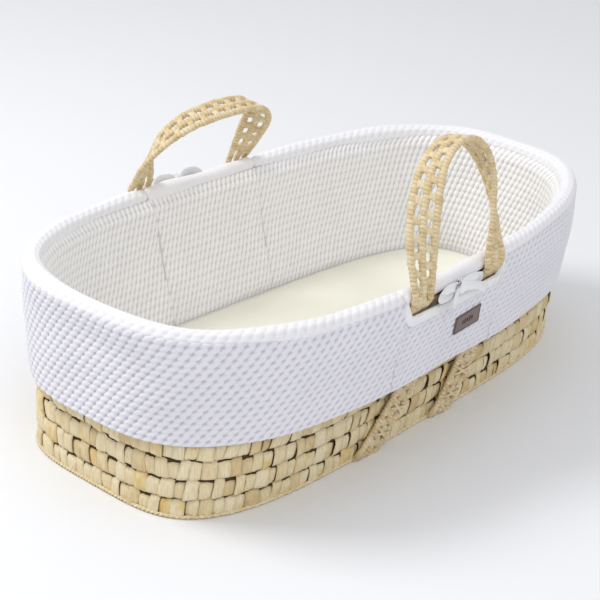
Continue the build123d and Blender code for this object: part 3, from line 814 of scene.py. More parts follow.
# ---- palm body ---------------------------------------------------------------------------------
@dataclass
class PalmBody:
    """The plaited rows, the twined edge at the floor, the base and the border."""

    leaf_width: float = 0.0148
    leaf_thickness: float = 0.012
    overlap: float = 1.13
    tuck: float = 0.0042
    edge_radius: float = 0.0026
    edge_twists: int = 120
    gap_shade_depths: tuple = (-0.0066, -0.0052)
    seed: int = 11

    def leaf(self) -> tuple[np.ndarray, list]:
        """Model one leaf segment, a unit wide and high.

        Returns:
            Its points and faces.
        """
        clear_selection()
        bpy.ops.mesh.primitive_grid_add(x_subdivisions=4, y_subdivisions=6, size=1.0, location=(0, 0, 0))
        solid = bpy.context.object.modifiers.new("thickness", "SOLIDIFY")
        solid.thickness = 0.1
        solid.offset = -1.0
        bpy.ops.object.modifier_apply(modifier="thickness")
        return take_shape(bpy.context.object)

    def on_wall(self, turns: np.ndarray, heights: np.ndarray, depth: np.ndarray) -> np.ndarray:
        """Points at angles, heights and distances outside the wall's face."""
        return np.column_stack([FORM.wall(heights).points(turns, depth)[0], heights])

    def row(self, number: int, points: np.ndarray, faces: list) -> bpy.types.Object:
        """The leaf segments of one plaited row; every second one is tucked under its neighbours.

        Args:
            number: the row, from 0 at the floor.
            points: one leaf segment's points.
            faces: one leaf segment's faces.

        Returns:
            The row.
        """
        rng = np.random.default_rng(self.seed + number)
        height = FORM.wall_height / FORM.rows
        low = number * height
        dense = np.linspace(0, FULL_TURN, 4000)
        run = run_along(FORM.wall(low + height / 2).points(dense)[0])
        total = run[-1]
        count = int(total / self.leaf_width)

        def drawn(kind: object, *limits: float) -> np.ndarray:
            return kind(*limits, count)[:, None]
        widths = rng.uniform(0.84, 1.16, count)
        edges = np.concatenate([[0], np.cumsum(widths)]) * total / widths.sum() + number * 0.5 * self.leaf_width
        centres, spans = ((edges[:-1] + edges[1:]) / 2)[:, None], np.diff(edges)[:, None]
        x, y, z = points[:, 0], points[:, 1], points[:, 2]
        over = (np.arange(count) % 2)[:, None]
        lean = drawn(rng.normal, 0.0, 0.0011) * y * 2
        flare = drawn(rng.uniform, 0.10, 0.28) * np.where(over == 1, 1.0, -0.55)
        s = centres + x * (0.96 - flare * y) * spans * self.overlap + lean
        top_drop = drawn(rng.uniform, 0.0, 0.0016) + (1 - over) * drawn(rng.uniform, 0.0006, 0.0040)
        skew = drawn(rng.normal, 0.0, 0.0011) * x * 2
        foot = drawn(rng.uniform, -0.0006, 0.0012)
        level = low + foot + (y + 0.5) * (height - top_drop - foot) + skew * np.clip(0.5 - np.abs(y), 0, 0.3)
        crease = 0.0005 * np.cos(x * math.pi * 4 + drawn(rng.uniform, 0, 6))
        folded = -self.tuck * np.clip((y - 0.22) / 0.28, 0, 1) ** 1.5 - 0.0012 * np.clip((-0.34 - y) / 0.16, 0, 1)
        crown = -0.0009 * np.abs(2 * x) ** 4
        tilt = drawn(rng.normal, 0.0, 0.0011) * 2 * x
        lift = drawn(rng.uniform, -0.0010, 0.0) - (1 - over) * 0.0012
        depth = folded + crown + crease + tilt + lift - 0.0004 + z * self.leaf_thickness
        turn = np.interp(np.mod(s, total), run, dense)
        block = [[i + k * len(points) for i in face] for k in range(count) for face in faces]
        tints = np.clip(rng.beta(2.2, 2.0, count), 0, 1)
        placed = self.on_wall(turn.ravel(), level.ravel(), depth.ravel())
        return new_piece(f"plait_row_{number + 1}", placed, block, np.repeat(tints, len(points)))

    def backing(self, number: int) -> bpy.types.Object:
        """A dark sheet inside a row, coloured as painted shade and seen in the gaps between its leaves.

        Args:
            number: the row, from 0 at the floor.

        Returns:
            The backing.
        """
        height = FORM.wall_height / FORM.rows
        turns = np.linspace(0, FULL_TURN, 160, endpoint=False)
        inner, outer = self.gap_shade_depths
        rings = [self.on_wall(turns, np.full(len(turns), (number + level) * height), np.full(len(turns), depth))
                 for level, depth in ((1, inner), (1, outer), (0, outer), (0, inner))]
        points, faces = tube(np.stack(rings, 1), wrap=True)
        return new_piece(f"row_{number + 1}_backing", points, faces, np.full(len(points), 0.4))

    def floor_edge(self) -> bpy.types.Object:
        """The twined palm edge along the foot of the wall.

        Returns:
            The edge.
        """
        bundle = Bundle()
        turns = np.linspace(0, FULL_TURN, 400)
        radius, swing = self.edge_radius, self.edge_radius * 0.4
        points, normals = FORM.base.points(turns)
        for k, phase in enumerate((0.0, math.pi)):
            frames = []
            for i, (point, normal) in enumerate(zip(points, normals)):
                angle = i / len(turns) * FULL_TURN * self.edge_twists + phase
                out = Vector((normal[0], normal[1], 0))
                at = Vector((point[0], point[1], radius + 0.0004))
                at += out * (-0.0012 + swing * math.cos(angle)) + UP * swing * math.sin(angle)
                frames.append((at, out, UP))
            WrappedCord(radius * 0.62, 40 + k, wrap_pitch=0.006, ridge=0.25, sides=7).add_to(bundle, frames)
        return bundle.piece("twined_floor_edge")

    def build(self) -> None:
        """Make and place every palm piece of the body."""
        points, faces = self.leaf()
        for number in range(FORM.rows):
            row = self.row(number, points, faces)
            place(row, "basket", "palm_weave", Finish.LEAF, f"wall_row_{number + 1}")
            place(self.backing(number), "basket", "palm_weave", Finish.BACKING)
        place(self.floor_edge(), "basket", "palm_weave", Finish.LEAF)
        dress(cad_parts["woven_base"], Finish.LEAF)
        dress(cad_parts["rim_border"], Finish.BORDER)


# ---- straps and handles ------------------------------------------------------------------------
@dataclass
class CordStrap:
    """What the straps and handles share: three flattened cords side by side."""

    radius: float = 0.0046
    flatten: float = 0.80
    pitch: float = 0.0148

    def cords(self, frames: list[Frame], seeds: tuple[int, int, int], thin: float = 0.0) -> Bundle:
        """Three cords along a route.

        Args:
            frames: the middle cord's route.
            seeds: a seed for each cord.
            thin: how much thinner the cords are than elsewhere.

        Returns:
            The cords.
        """
        bundle = Bundle()
        for k, seed in zip((-1, 0, 1), seeds):
            WrappedCord(self.radius - thin, seed, self.flatten).add_to(bundle, frames, k * self.pitch)
        return bundle


@dataclass
class CarryStrap(CordStrap):
    """One strap: down the far wall, under the base and up the near wall, where lashings hold it."""

    name: str = "strap"
    index: int = 0
    routes: dict = field(default_factory=dict)
    heights: tuple = (0.0, 0.082, 0.125, 0.186)
    bend_drop: float = 0.014
    inner_bend: float = 0.0015
    tie_spacing: float = 0.0150

    def side_route(self, side: Side) -> list[tuple[Vector, Vector]]:
        """One side's route, from under the base up to the handle's foot.

        Args:
            side: the long side.

        Returns:
            Centre points and normals.
        """
        thick = 2 * FORM.cord_radius
        offset = FORM.strap_gap + thick / 2
        radius = thick / 2 + self.inner_bend
        ground, normal = FORM.face_frame(self.routes[side][0], thick + self.inner_bend, side)
        start = ground + normal * offset
        route = [(Vector((start.x, start.y - side.value * radius, thick / 2)), -UP)]
        for step in range(1, 5):
            angle = math.radians(step * 18)
            out = Vector((0, side.value * math.sin(angle), -math.cos(angle)))
            y = start.y - side.value * radius * (1 - math.sin(angle))
            route.append((Vector((start.x, y, thick / 2 + radius * (1 - math.cos(angle)))), out))
        leave = FORM.border_top - self.bend_drop
        guides = [Vector((x, 0, z * leave / self.heights[-1])) for x, z in zip(self.routes[side], self.heights)]
        for guide in smooth_route(guides, 6)[1:]:
            if guide.z > thick + 0.003:
                at, out = FORM.face_frame(guide.x, guide.z, side)
                route.append((at + out * offset, out))
        return [*route, *self.rim_route(side, route[-1][0])]

    def rim_route(self, side: Side, start: Vector) -> list[tuple[Vector, Vector]]:
        """The last stretch, round the roll and up to where the handle bends.

        Args:
            side: the long side.
            start: where the strap leaves the wall.

        Returns:
            Centre points and normals.
        """
        centre, outward = FORM.roll_frame(FORM.feet[side][self.index], side)
        level, down = (start - centre).dot(outward), centre.z - start.z
        lean = math.atan2(down, -level) - math.asin(FORM.hinge_outset / math.hypot(level, down))
        route = []
        for step in range(4):
            angle = (lean - math.pi / 2) * (1 - step / 3)
            out = outward * math.cos(angle) + UP * math.sin(angle)
            route.append((centre + out * FORM.hinge_outset, out))
        return [*route, (centre + outward * FORM.hinge_outset + UP * (FORM.hinge_lift - 0.006), outward)]

    def frames(self) -> list[Frame]:
        """The whole route, with a width direction at each place."""
        route = [*reversed(self.side_route(Side.FAR)), *self.side_route(Side.NEAR)]
        line = [at for at, _ in route]
        return [(at, normal.cross(heading(line, i)).normalized(), normal) for i, (at, normal) in enumerate(route)]

    def build(self) -> None:
        """Make the strap's three cords and the lattice between them."""
        frames = self.frames()
        bundle = self.cords(frames, (20 + self.index,) * 3)
        LatticeTie(0.0050, 0.75).add_to(bundle, frames, self.pitch, self.tie_spacing, 30 + self.index)
        place(bundle.piece(self.name + "_wrapped"), "basket", "palm_cord", Finish.CORD, self.name)


@dataclass
class Lashings:
    """Pairs of crossed palm strips that lash each strap to the wall."""

    straps: tuple
    heights: tuple = (0.030, 0.058)
    strip_width: float = 0.0040
    reach: float = 0.021
    lean: float = 0.30
    bow: float = 0.0050

    def build(self) -> None:
        """Make every lashing as one group of strips."""
        bundle = Bundle()
        for strap in self.straps:
            frames = strap.frames()
            for height in self.heights:
                for side in Side:
                    on_side = [f for f in frames if f[0].y * side.value > 0]
                    nearest = min(on_side, key=lambda f: abs(f[0].z - height))
                    for lean in (-self.lean, self.lean):
                        self.strip(bundle, *nearest, lean)
        place(bundle.piece("palm_lashings"), "basket", "palm_cord", Finish.CORD, "strap_lashings")

    def strip(self, bundle: Bundle, at: Vector, across: Vector, normal: Vector, lean: float) -> None:
        """Add one strip that bows over the strap and tucks in at both of its edges.

        Args:
            bundle: what the strip is added to.
            at: the strap's middle there.
            across: the strap's width direction.
            normal: the strap's outward normal.
            lean: how much the strip slants.
        """
        along = across.cross(normal)
        frames = []
        for i in range(13):
            t = i / 6 - 1
            out = self.bow * (1 - abs(t) ** 5) + 0.0002
            spot = at + across * (t * self.reach) + along * (t * lean * self.reach) + normal * out
            frames.append((spot, along, normal))
        WrappedCord(self.strip_width / 2, 7, 0.35, 0.02, 0.1, 8).add_to(bundle, frames)


@dataclass
class Handle(CordStrap):
    """A handle: three wrapped cords side by side in an arch that twists, with lattice ties."""

    side: Side = Side.NEAR
    lean: float = 0.0
    arch: tuple = ()
    twist_height: float = 0.150
    tie_spacing: float = 0.0200
    clear_of_hinge: float = 0.005
    bend_reach: float = 0.0095
    bend_blend: float = 0.006

    def __post_init__(self) -> None:
        """Work out the hinge line, the way up the arch and the way its face looks."""
        ends = []
        for foot in FORM.feet[self.side]:
            centre, outward = FORM.roll_frame(foot, self.side)
            ends.append(centre + outward * FORM.hinge_outset + UP * FORM.hinge_lift)
        span = ends[1] - ends[0]
        self.middle, self.along, self.apart = (ends[0] + ends[1]) / 2, span.normalized(), span.length
        outward = Vector((self.along.y, -self.along.x, 0)).normalized() * (-self.side.value)
        lean = math.radians(self.lean)
        self.upward = UP * math.cos(lean) - outward * math.sin(lean)
        self.face = outward * math.cos(lean) + UP * math.sin(lean)

    def frames(self) -> list[Frame]:
        """The arch's route, from its -X foot to its +X foot.

        Returns:
            Place, width direction and normal along it, clear of the hinge.
        """
        stretch = self.apart / (self.arch[-1][0] - self.arch[0][0])
        guides = [self.middle + self.along * (u * stretch) + self.upward * v for u, v in self.arch]
        route = smooth_route(guides, 6)
        frames = []
        for i, at in enumerate(route):
            travel = heading(route, i)
            if i in (0, len(route) - 1):
                travel = self.upward if i == 0 else -self.upward
            radial = self.face.cross(travel).normalized() * (-self.side.value)
            rise = (at - self.middle).dot(self.upward)
            twist = min(1.0, rise / self.twist_height) * math.pi / 2
            normal = self.face * math.cos(twist) + radial * math.sin(twist)
            if rise > self.clear_of_hinge:
                frames.append((at, normal.cross(travel).normalized(), normal))
        return frames

    def build(self) -> None:
        """Make the arch and the two stretches that bend at the hinge."""
        name, body = self.side.label, f"{self.side.label}_handle"
        frames = self.frames()
        nodes = [f"{name}_handle_{which}_cord" for which in ("inner", "middle", "outer")]
        cords = self.cords(frames, (49, 50, 51))
        place(cords.piece(f"{name}_handle_cords"), body, "palm_cord", Finish.CORD, *nodes)
        ties = Bundle()
        LatticeTie().add_to(ties, frames, self.pitch, self.tie_spacing, 60)
        place(ties.piece(f"{name}_handle_lattice"), body, "palm_cord", Finish.CORD, f"{name}_handle_ties")
        for sign, foot in ((-1, "head"), (1, "foot")):
            self.bend(f"{name}_handle_bend_{foot}", self.middle + self.along * (sign * self.apart / 2))

    def bend(self, name: str, at: Vector) -> None:
        """Make the short stretch of strap that bends at the hinge.

        Args:
            name: the piece's name.
            at: the middle of the bend.
        """
        outward = Vector((self.face.x, self.face.y, 0)).normalized()
        frames = []
        for i in range(9):
            t = i / 4 - 1
            spot = at + (UP * t if t < 0 else self.upward * t) * self.bend_reach
            share = (t + 1) / 2
            frames.append((spot, self.along, (outward * (1 - share) + self.face * share).normalized()))
        piece = self.cords(frames, (69, 70, 71), 0.0001).piece(name)
        dress(piece, Finish.CORD)
        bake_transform(piece)
        log.info("%s bends between basket and %s_handle", name, self.side.label)


# ---- dressing ----------------------------------------------------------------------------------
@dataclass(frozen=True)
class Knit:
    """A chunky knit: staggered rows of plump oval stitches that all slant the same way."""

    width: float = 0.0122
    pitch: float = 0.0078
    height: float = 0.0026
    slant: float = 24.0
    stitch: tuple = (0.0084, 0.0036)

    def relief(self, along: np.ndarray, upward: np.ndarray) -> np.ndarray:
        """How far the knit stands out.

        Args:
            along: distances along the panel.
            upward: distances up the panel.

        Returns:
            The relief at each place.
        """
        turn = math.radians(self.slant)
        row = np.floor(upward / self.pitch)
        best = np.zeros_like(along)
        for near_row in (-1, 0, 1):
            y = upward - (row + near_row + 0.5) * self.pitch
            shift = 0.5 * np.mod(row + near_row, 2)
            column = np.floor(along / self.width + shift)
            for near_column in (-1, 0, 1):
                x = along - (column + near_column + 0.5 - shift) * self.width
                long_way = x * math.cos(turn) + y * math.sin(turn)
                short_way = y * math.cos(turn) - x * math.sin(turn)
                inside = 1 - (long_way / self.stitch[0]) ** 2 - (short_way / self.stitch[1]) ** 2
                best = np.maximum(best, inside)
        return self.height * np.sqrt(np.clip(best, 0, 1))


@dataclass
class Dressing:
    """The knitted dressing: skirt, padded roll and lining, with slits for the handles."""

    knit: Knit = Knit()
    inner_knit: Knit = Knit(0.0078, 0.0098, 0.0024, 60.0, (0.0066, 0.0033))
    step: float = 0.00125
    slit_ramp: float = 0.013
    roll_share: float = 0.5
    strap_dent: float = 0.0021
    dent_reach: float = 0.026
    cloth: float = 0.003
    shoulder: float = 0.036
    roll_ends: tuple = (-14, -100, 212)
    binding: tuple = ((0.0012, -0.0120), (0.0022, -0.0070), (0.0024, -0.0020), (0.0012, 0.0010),
                      (-0.0014, 0.0012), (-0.0034, -0.0010), (-0.0036, -0.0040), (-0.0020, -0.0040),
                      (-0.0006, -0.0080), (0.0002, -0.0120))

    def slit(self, side: Side) -> tuple[float, float]:
        """The two ends of a slit, along X."""
        reach = FORM.cord_pitch + FORM.cord_radius + FORM.slit_margin
        return FORM.feet[side][0] - reach, FORM.feet[side][1] + reach

    def inside_slit(self, x: np.ndarray, side: Side) -> np.ndarray:
        """How far inside a slit's ends a place is, as a share of the ramp."""
        left, right = self.slit(side)
        return np.minimum(x - left, right - x) / self.slit_ramp

    def slit_edge(self, x: np.ndarray, side: Side) -> np.ndarray:
        """Height of the skirt's top along a long side, low in the slit and up at the roll outside it."""
        drop = (FORM.roll_lift + FORM.slit_drop) * ease(self.inside_slit(x, side))
        return FORM.roll_height + FORM.saddle(x) - drop

    def outer_point(self, turns: np.ndarray, heights: np.ndarray) -> np.ndarray:
        """Places on the skirt's outer face, which runs on into the roll's outer side.

        Args:
            turns: angles round the basket.
            heights: a row of heights for each angle.

        Returns:
            The places.
        """
        rim, _ = FORM.border(turns, FORM.roll_outset + FORM.roll_radius)
        flat = FORM.skirt(heights).points(np.broadcast_to(turns[:, None], heights.shape))[0]
        drop = (FORM.roll_height + FORM.saddle(rim[:, 0]))[:, None] - heights
        blend = ease(1 - drop / self.shoulder)[..., None]
        return np.concatenate([flat * (1 - blend) + rim[:, None] * blend, heights[..., None]], -1)

    def arc(self, points: np.ndarray) -> tuple[np.ndarray, np.ndarray]:
        """Distances along and up a grid of places."""
        steps = [np.linalg.norm(np.diff(points, axis=axis), axis=2).mean(1 - axis) for axis in (0, 1)]
        runs = [np.concatenate([[0], np.cumsum(step)]) for step in steps]
        return np.meshgrid(*runs, indexing="ij")

    def seam_pinch(self, along: np.ndarray, depth: float = 0.0022, reach: float = 0.006) -> np.ndarray:
        """How much a panel is drawn in beside the seams at its two ends."""
        edge = np.minimum(along, along.max() - along)
        return -depth * np.clip(1 - edge / reach, 0, 1) ** 2

    def pucker(self, along: np.ndarray, upward: np.ndarray, height: float = 0.0007) -> np.ndarray:
        """A slow, uneven swelling of the padding under the knit."""
        return height * (np.sin(along * 41 + 1.3 * np.sin(upward * 60)) + np.sin(along * 17 + upward * 35 + 2.0))

    def count(self, length: float) -> int:
        """How many places a length is divided by."""
        return max(4, int(length / self.step))

    def spaced(self, first: float, last: float) -> np.ndarray:
        """Angles between two angles, a step apart along the roll."""
        length = run_along(FORM.border(np.linspace(first, last, 400))[0])[-1]
        return FORM.turns(first, last, self.count(abs(length)))

    def panel(self, name: str, points: np.ndarray, relief: np.ndarray, tint: np.ndarray,
              finish: Finish, slot: str, node: str) -> None:
        """Make and place one padded panel.

        Args:
            name: the piece's name.
            points: grid of places on its front.
            relief: how far each place stands out.
            tint: how far out of the crevices each place is, from which the finish paints shade into the crevices.
            finish: what it wears.
            slot: the slot that its finish belongs to.
            node: the node that it stands for.
        """
        piece = cloth_panel(name, points, relief, self.cloth, tint)
        place(piece, "basket", slot, finish, node)

    def skirt_panel(self, name: str, first: float, last: float, side: Side | None, node: str) -> None:
        """One skirt panel between two angles.

        Args:
            name: the piece's name.
            first: the first angle.
            last: the last angle.
            side: the long side whose slit it stops at, or none at an end.
            node: the node that it stands for.
        """
        turns = self.spaced(first, last)
        x = FORM.border(turns)[0][:, 0]
        hem = FORM.hem_height - FORM.hem_drop * (x / FORM.rim.half_length) ** 2
        top = self.slit_edge(x, side) if side else FORM.roll_height + FORM.saddle(x)
        rows = self.count(float((top - hem).max()))
        heights = hem[:, None] + (top - hem)[:, None] * np.linspace(0, 1, rows)[None, :]
        points = self.outer_point(turns, heights)
        along, upward = self.arc(points)[0], heights - hem[:, None]
        knitted = self.knit.relief(along, upward)
        hem_tuck = -0.0028 * np.clip(1 - upward / 0.006, 0, 1) ** 2
        relief = knitted + self.pucker(along, upward) + self.seam_pinch(along, 0.001, 0.004) + hem_tuck - 0.0010
        self.panel(name, points, relief, knitted / self.knit.height, Finish.KNIT, "knit", node)

    def dent(self, places: np.ndarray) -> np.ndarray:
        """How far the straps press into the padding at places along the roll."""
        pressed = np.zeros(len(places))
        for side in Side:
            for foot in FORM.feet[side]:
                close = np.exp(-((places[:, 0] - foot) / self.dent_reach) ** 4)
                pressed += self.strap_dent * close * (places[:, 1] * side.value > 0)
        return pressed

    def roll_panel(self, name: str, first: float, last: float, node: str, side: Side | None) -> None:
        """A length of the padded roll: knit drawn over wadding, plain jersey between a handle's feet.

        Args:
            name: the piece's name.
            first: the first angle.
            last: the last angle.
            node: the node that it stands for.
            side: the long side whose slit leaves it open below, or none at an end.
        """
        turns = self.spaced(first, last)
        centre, normal = FORM.border(turns)
        height = FORM.roll_height + FORM.saddle(centre[:, 0])
        low, high = self.roll_ends[1 if side else 0], self.roll_ends[2]
        angles = np.radians(np.linspace(low, high, self.count(FORM.roll_radius * math.radians(high - low))))
        plump = FORM.roll_radius - 0.0010 - self.dent(centre)
        out, up = np.outer(plump, np.cos(angles)), np.outer(plump, np.sin(angles))
        flat = centre[:, None, :] + normal[:, None, :] * out[..., None]
        points = np.concatenate([flat, (height[:, None] + up)[..., None]], -1)
        smooth = np.clip(self.inside_slit(centre[:, 0], side), 0, 1)[:, None] if side else np.zeros((len(turns), 1))
        along, upward = self.arc(points)
        knitted = self.knit.relief(along, upward) * (1 - smooth) + smooth * self.knit.height
        relief = knitted * self.roll_share + self.pucker(along, upward) * (1 + smooth) + self.seam_pinch(along)
        # Painted shade mask: how far out of the knit's crevices each place is.
        tint = 0.4 + 0.6 * knitted / self.knit.height
        self.panel(name, points, relief, tint, Finish.ROLL, "knit_roll", node)

    def lining_panel(self, name: str, first: float, last: float, node: str) -> None:
        """A lining panel, from the roll's inner side down beside the mattress.

        Args:
            name: the piece's name.
            first: the first angle.
            last: the last angle.
            node: the node that it stands for.
        """
        turns = self.spaced(first, last)
        rim, _ = FORM.border(turns, FORM.roll_outset - FORM.roll_radius + 0.0012)
        wall = FORM.wall(FORM.border_top)
        inset = FORM.wall_thickness + 0.0053
        top = Oval(wall.half_length - inset, wall.half_width - inset, wall.squareness)
        low = Oval(FORM.mattress.half_length + 0.0012, FORM.mattress.half_width + 0.0012, 4.0)
        lift = FORM.roll_height - 0.0023 - FORM.mattress_top
        shares = np.linspace(1, 0, self.count(lift))
        grid = np.empty((len(turns), len(shares) + 6, 3))
        for j, share in enumerate(shares):
            flat, _ = low.mixed(top, share ** 0.9).points(turns)
            blend = ease((share - 0.93) / 0.07)
            grid[:, j, :2] = flat * (1 - blend) + rim * blend
            grid[:, j, 2] = FORM.mattress_top + share * (lift + FORM.saddle(rim[:, 0]))
        for k in range(6):
            grid[:, len(shares) + k, :2] = low.points(turns, 0.0004)[0]
            grid[:, len(shares) + k, 2] = FORM.mattress_top - 0.007 * (k + 1)
        along, upward = self.arc(grid)
        fade = np.clip((grid[..., 2] - FORM.mattress_top - 0.001) / 0.006, 0, 1)
        knitted = self.inner_knit.relief(along, upward)
        relief = (knitted + self.pucker(along, upward, 0.0011)) * fade + self.seam_pinch(along, 0.0018, 0.009)
        self.panel(name, grid, relief, knitted / self.inner_knit.height, Finish.LINING, "knit", node)

    def facing(self, side: Side) -> None:
        """The smooth jersey binding that rolls over the lower edge of a slit.

        Args:
            side: the long side.
        """
        xs = np.linspace(*self.slit(side), 90)
        turns = np.array([FORM.turn_at(float(x), side) for x in xs])
        centre = self.outer_point(turns, self.slit_edge(xs, side)[:, None])[:, 0]
        out = np.column_stack([FORM.border(turns, 0.0)[1], np.zeros(len(xs))])
        travel = np.gradient(centre, axis=0)
        travel /= np.linalg.norm(travel, axis=1, keepdims=True)
        over = np.cross(out, travel)
        over *= np.sign(over[:, 2:3])
        wave = (0.0005 * np.sin(xs * 160) + 0.0004 * np.sin(xs * 77 + 1))[:, None]
        rings = [centre + out * (u + wave) + over * (v + wave * 0.7) for u, v in self.binding]
        piece = new_piece(f"{side.label}_slit_binding", *tube(np.stack(rings, 1)))
        face_outwards(piece)
        round_off(piece)
        place(piece, "basket", "jersey", Finish.JERSEY, f"{side.label}_slit_facing")

    def build(self) -> None:
        """Make and place every piece of the dressing."""
        near_l, near_r = (FORM.turn_at(x, Side.NEAR) for x in FORM.lining_seams)
        far_l, far_r = (FORM.turn_at(x, Side.FAR) for x in FORM.lining_seams)
        spans = {"far_side": (far_r, far_l, Side.FAR), "near_side": (near_l, near_r, Side.NEAR),
                 "foot_end": (near_r, far_r, None), "head_end": (far_l, near_l + FULL_TURN, None)}
        for part, (first, last, side) in spans.items():
            self.roll_panel(f"padded_roll_{part}", first, last, f"roll_{part}", side)
            self.lining_panel(f"knit_lining_{part}", first, last, f"lining_{part}")
        far = [FORM.turn_at(x, Side.FAR) for x in self.slit(Side.FAR)]
        near = [FORM.turn_at(x, Side.NEAR) for x in self.slit(Side.NEAR)]
        self.skirt_panel("knit_skirt_far", far[1], far[0], Side.FAR, "skirt_far_side")
        self.skirt_panel("knit_skirt_near", near[0], near[1], Side.NEAR, "skirt_near_side")
        self.skirt_panel("knit_skirt_foot", near[1], far[1], None, "skirt_foot_end")
        self.skirt_panel("knit_skirt_head", far[0], near[0] + FULL_TURN, None, "skirt_head_end")
        for side in Side:
            self.facing(side)
        dress(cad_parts["lining_floor"], Finish.JERSEY)


@dataclass
class TieBow:
    """A jersey tie knotted into a bow in the middle of a slit."""

    side: Side
    x: float
    strip: float = 0.013
    thickness: float = 0.0011
    cup: float = 0.0018
    columns: int = 5

    def ribbon(self, bundle: Bundle, route: tuple, twist: float) -> float:
        """Add one length of jersey strip along a route.

        Args:
            bundle: what the strip is added to.
            route: points as (along the basket, outward, up), from the bow's middle.
            twist: how far the strip turns along its length, in radians.

        Returns:
            The strip's length.
        """
        centre, outward = FORM.roll_frame(self.x, self.side)
        along = UP.cross(outward)
        origin = centre + outward * (FORM.roll_radius + 0.0030) - UP * 0.004
        places = smooth_route([origin + along * a + outward * b + UP * c for a, b, c in route], 8)
        rings = []
        for i, at in enumerate(places):
            travel = heading(places, i)
            share = i / (len(places) - 1)
            face = outward - travel * outward.dot(travel)
            face = face.normalized() if face.length > 1e-4 else along
            angle = twist * share
            across = travel.cross(face).normalized() * math.cos(angle) + face * math.sin(angle)
            face = travel.cross(across).normalized()
            width = self.strip * (0.45 + 0.55 * min(1.0, 5 * min(share + 0.02, 1.05 - share)))
            spread = [j / (self.columns - 1) - 0.5 for j in range(self.columns)]
            bulge = [self.cup * (1 - (2 * u) ** 2) + 0.0005 * math.sin(9 * u + 7 * share) for u in spread]
            front = [at + across * (u * width) + face * b for u, b in zip(spread, bulge)]
            back = [at + across * (u * width) + face * (b - self.thickness) for u, b in zip(spread, bulge)]
            rings.append([tuple(p) for p in front + back[::-1]])
        points, faces = tube(np.array(rings))
        bundle.add(points, faces, np.zeros(len(points)))
        return sum((b - a).length for a, b in zip(places, places[1:]))

    def build(self) -> None:
        """Make the loops, the hanging ends and the knot as one piece of jersey."""
        s = 1 if self.side is Side.NEAR else -1
        strips = (
            (0.4, s, ((0, 0.004, 0), (-0.014, 0.009, 0.006), (-0.033, 0.010, 0.007), (-0.037, 0.006, -0.002),
                      (-0.020, 0.003, -0.006), (0, 0.003, -0.001))),
            (-0.4, s, ((0, 0.004, 0), (0.014, 0.009, 0.007), (0.034, 0.010, 0.005), (0.039, 0.005, -0.004),
                       (0.021, 0.003, -0.006), (0, 0.003, -0.001))),
            (0.7, s, ((0, 0.006, 0), (-0.010, 0.010, -0.008), (-0.016, 0.012, -0.022), (-0.014, 0.010, -0.030))),
            (-0.6, s, ((0, 0.006, 0), (0.020, 0.010, -0.003), (0.042, 0.010, -0.010), (0.056, 0.009, -0.020))),
            (0.3, 1, ((-0.007, 0.004, -0.006), (-0.004, 0.011, -0.002), (0.001, 0.012, 0.003),
                      (0.006, 0.007, 0.007), (0.004, 0.002, 0.006))))
        bundle = Bundle()
        length = sum(self.ribbon(bundle, tuple((a * way, b, c) for a, b, c in route), twist)
                     for twist, way, route in strips)
        piece = bundle.piece(f"{self.side.label}_jersey_bow")
        face_outwards(piece)
        round_off(piece)
        place(piece, "basket", "jersey", Finish.JERSEY, f"{self.side.label}_tie_bow")


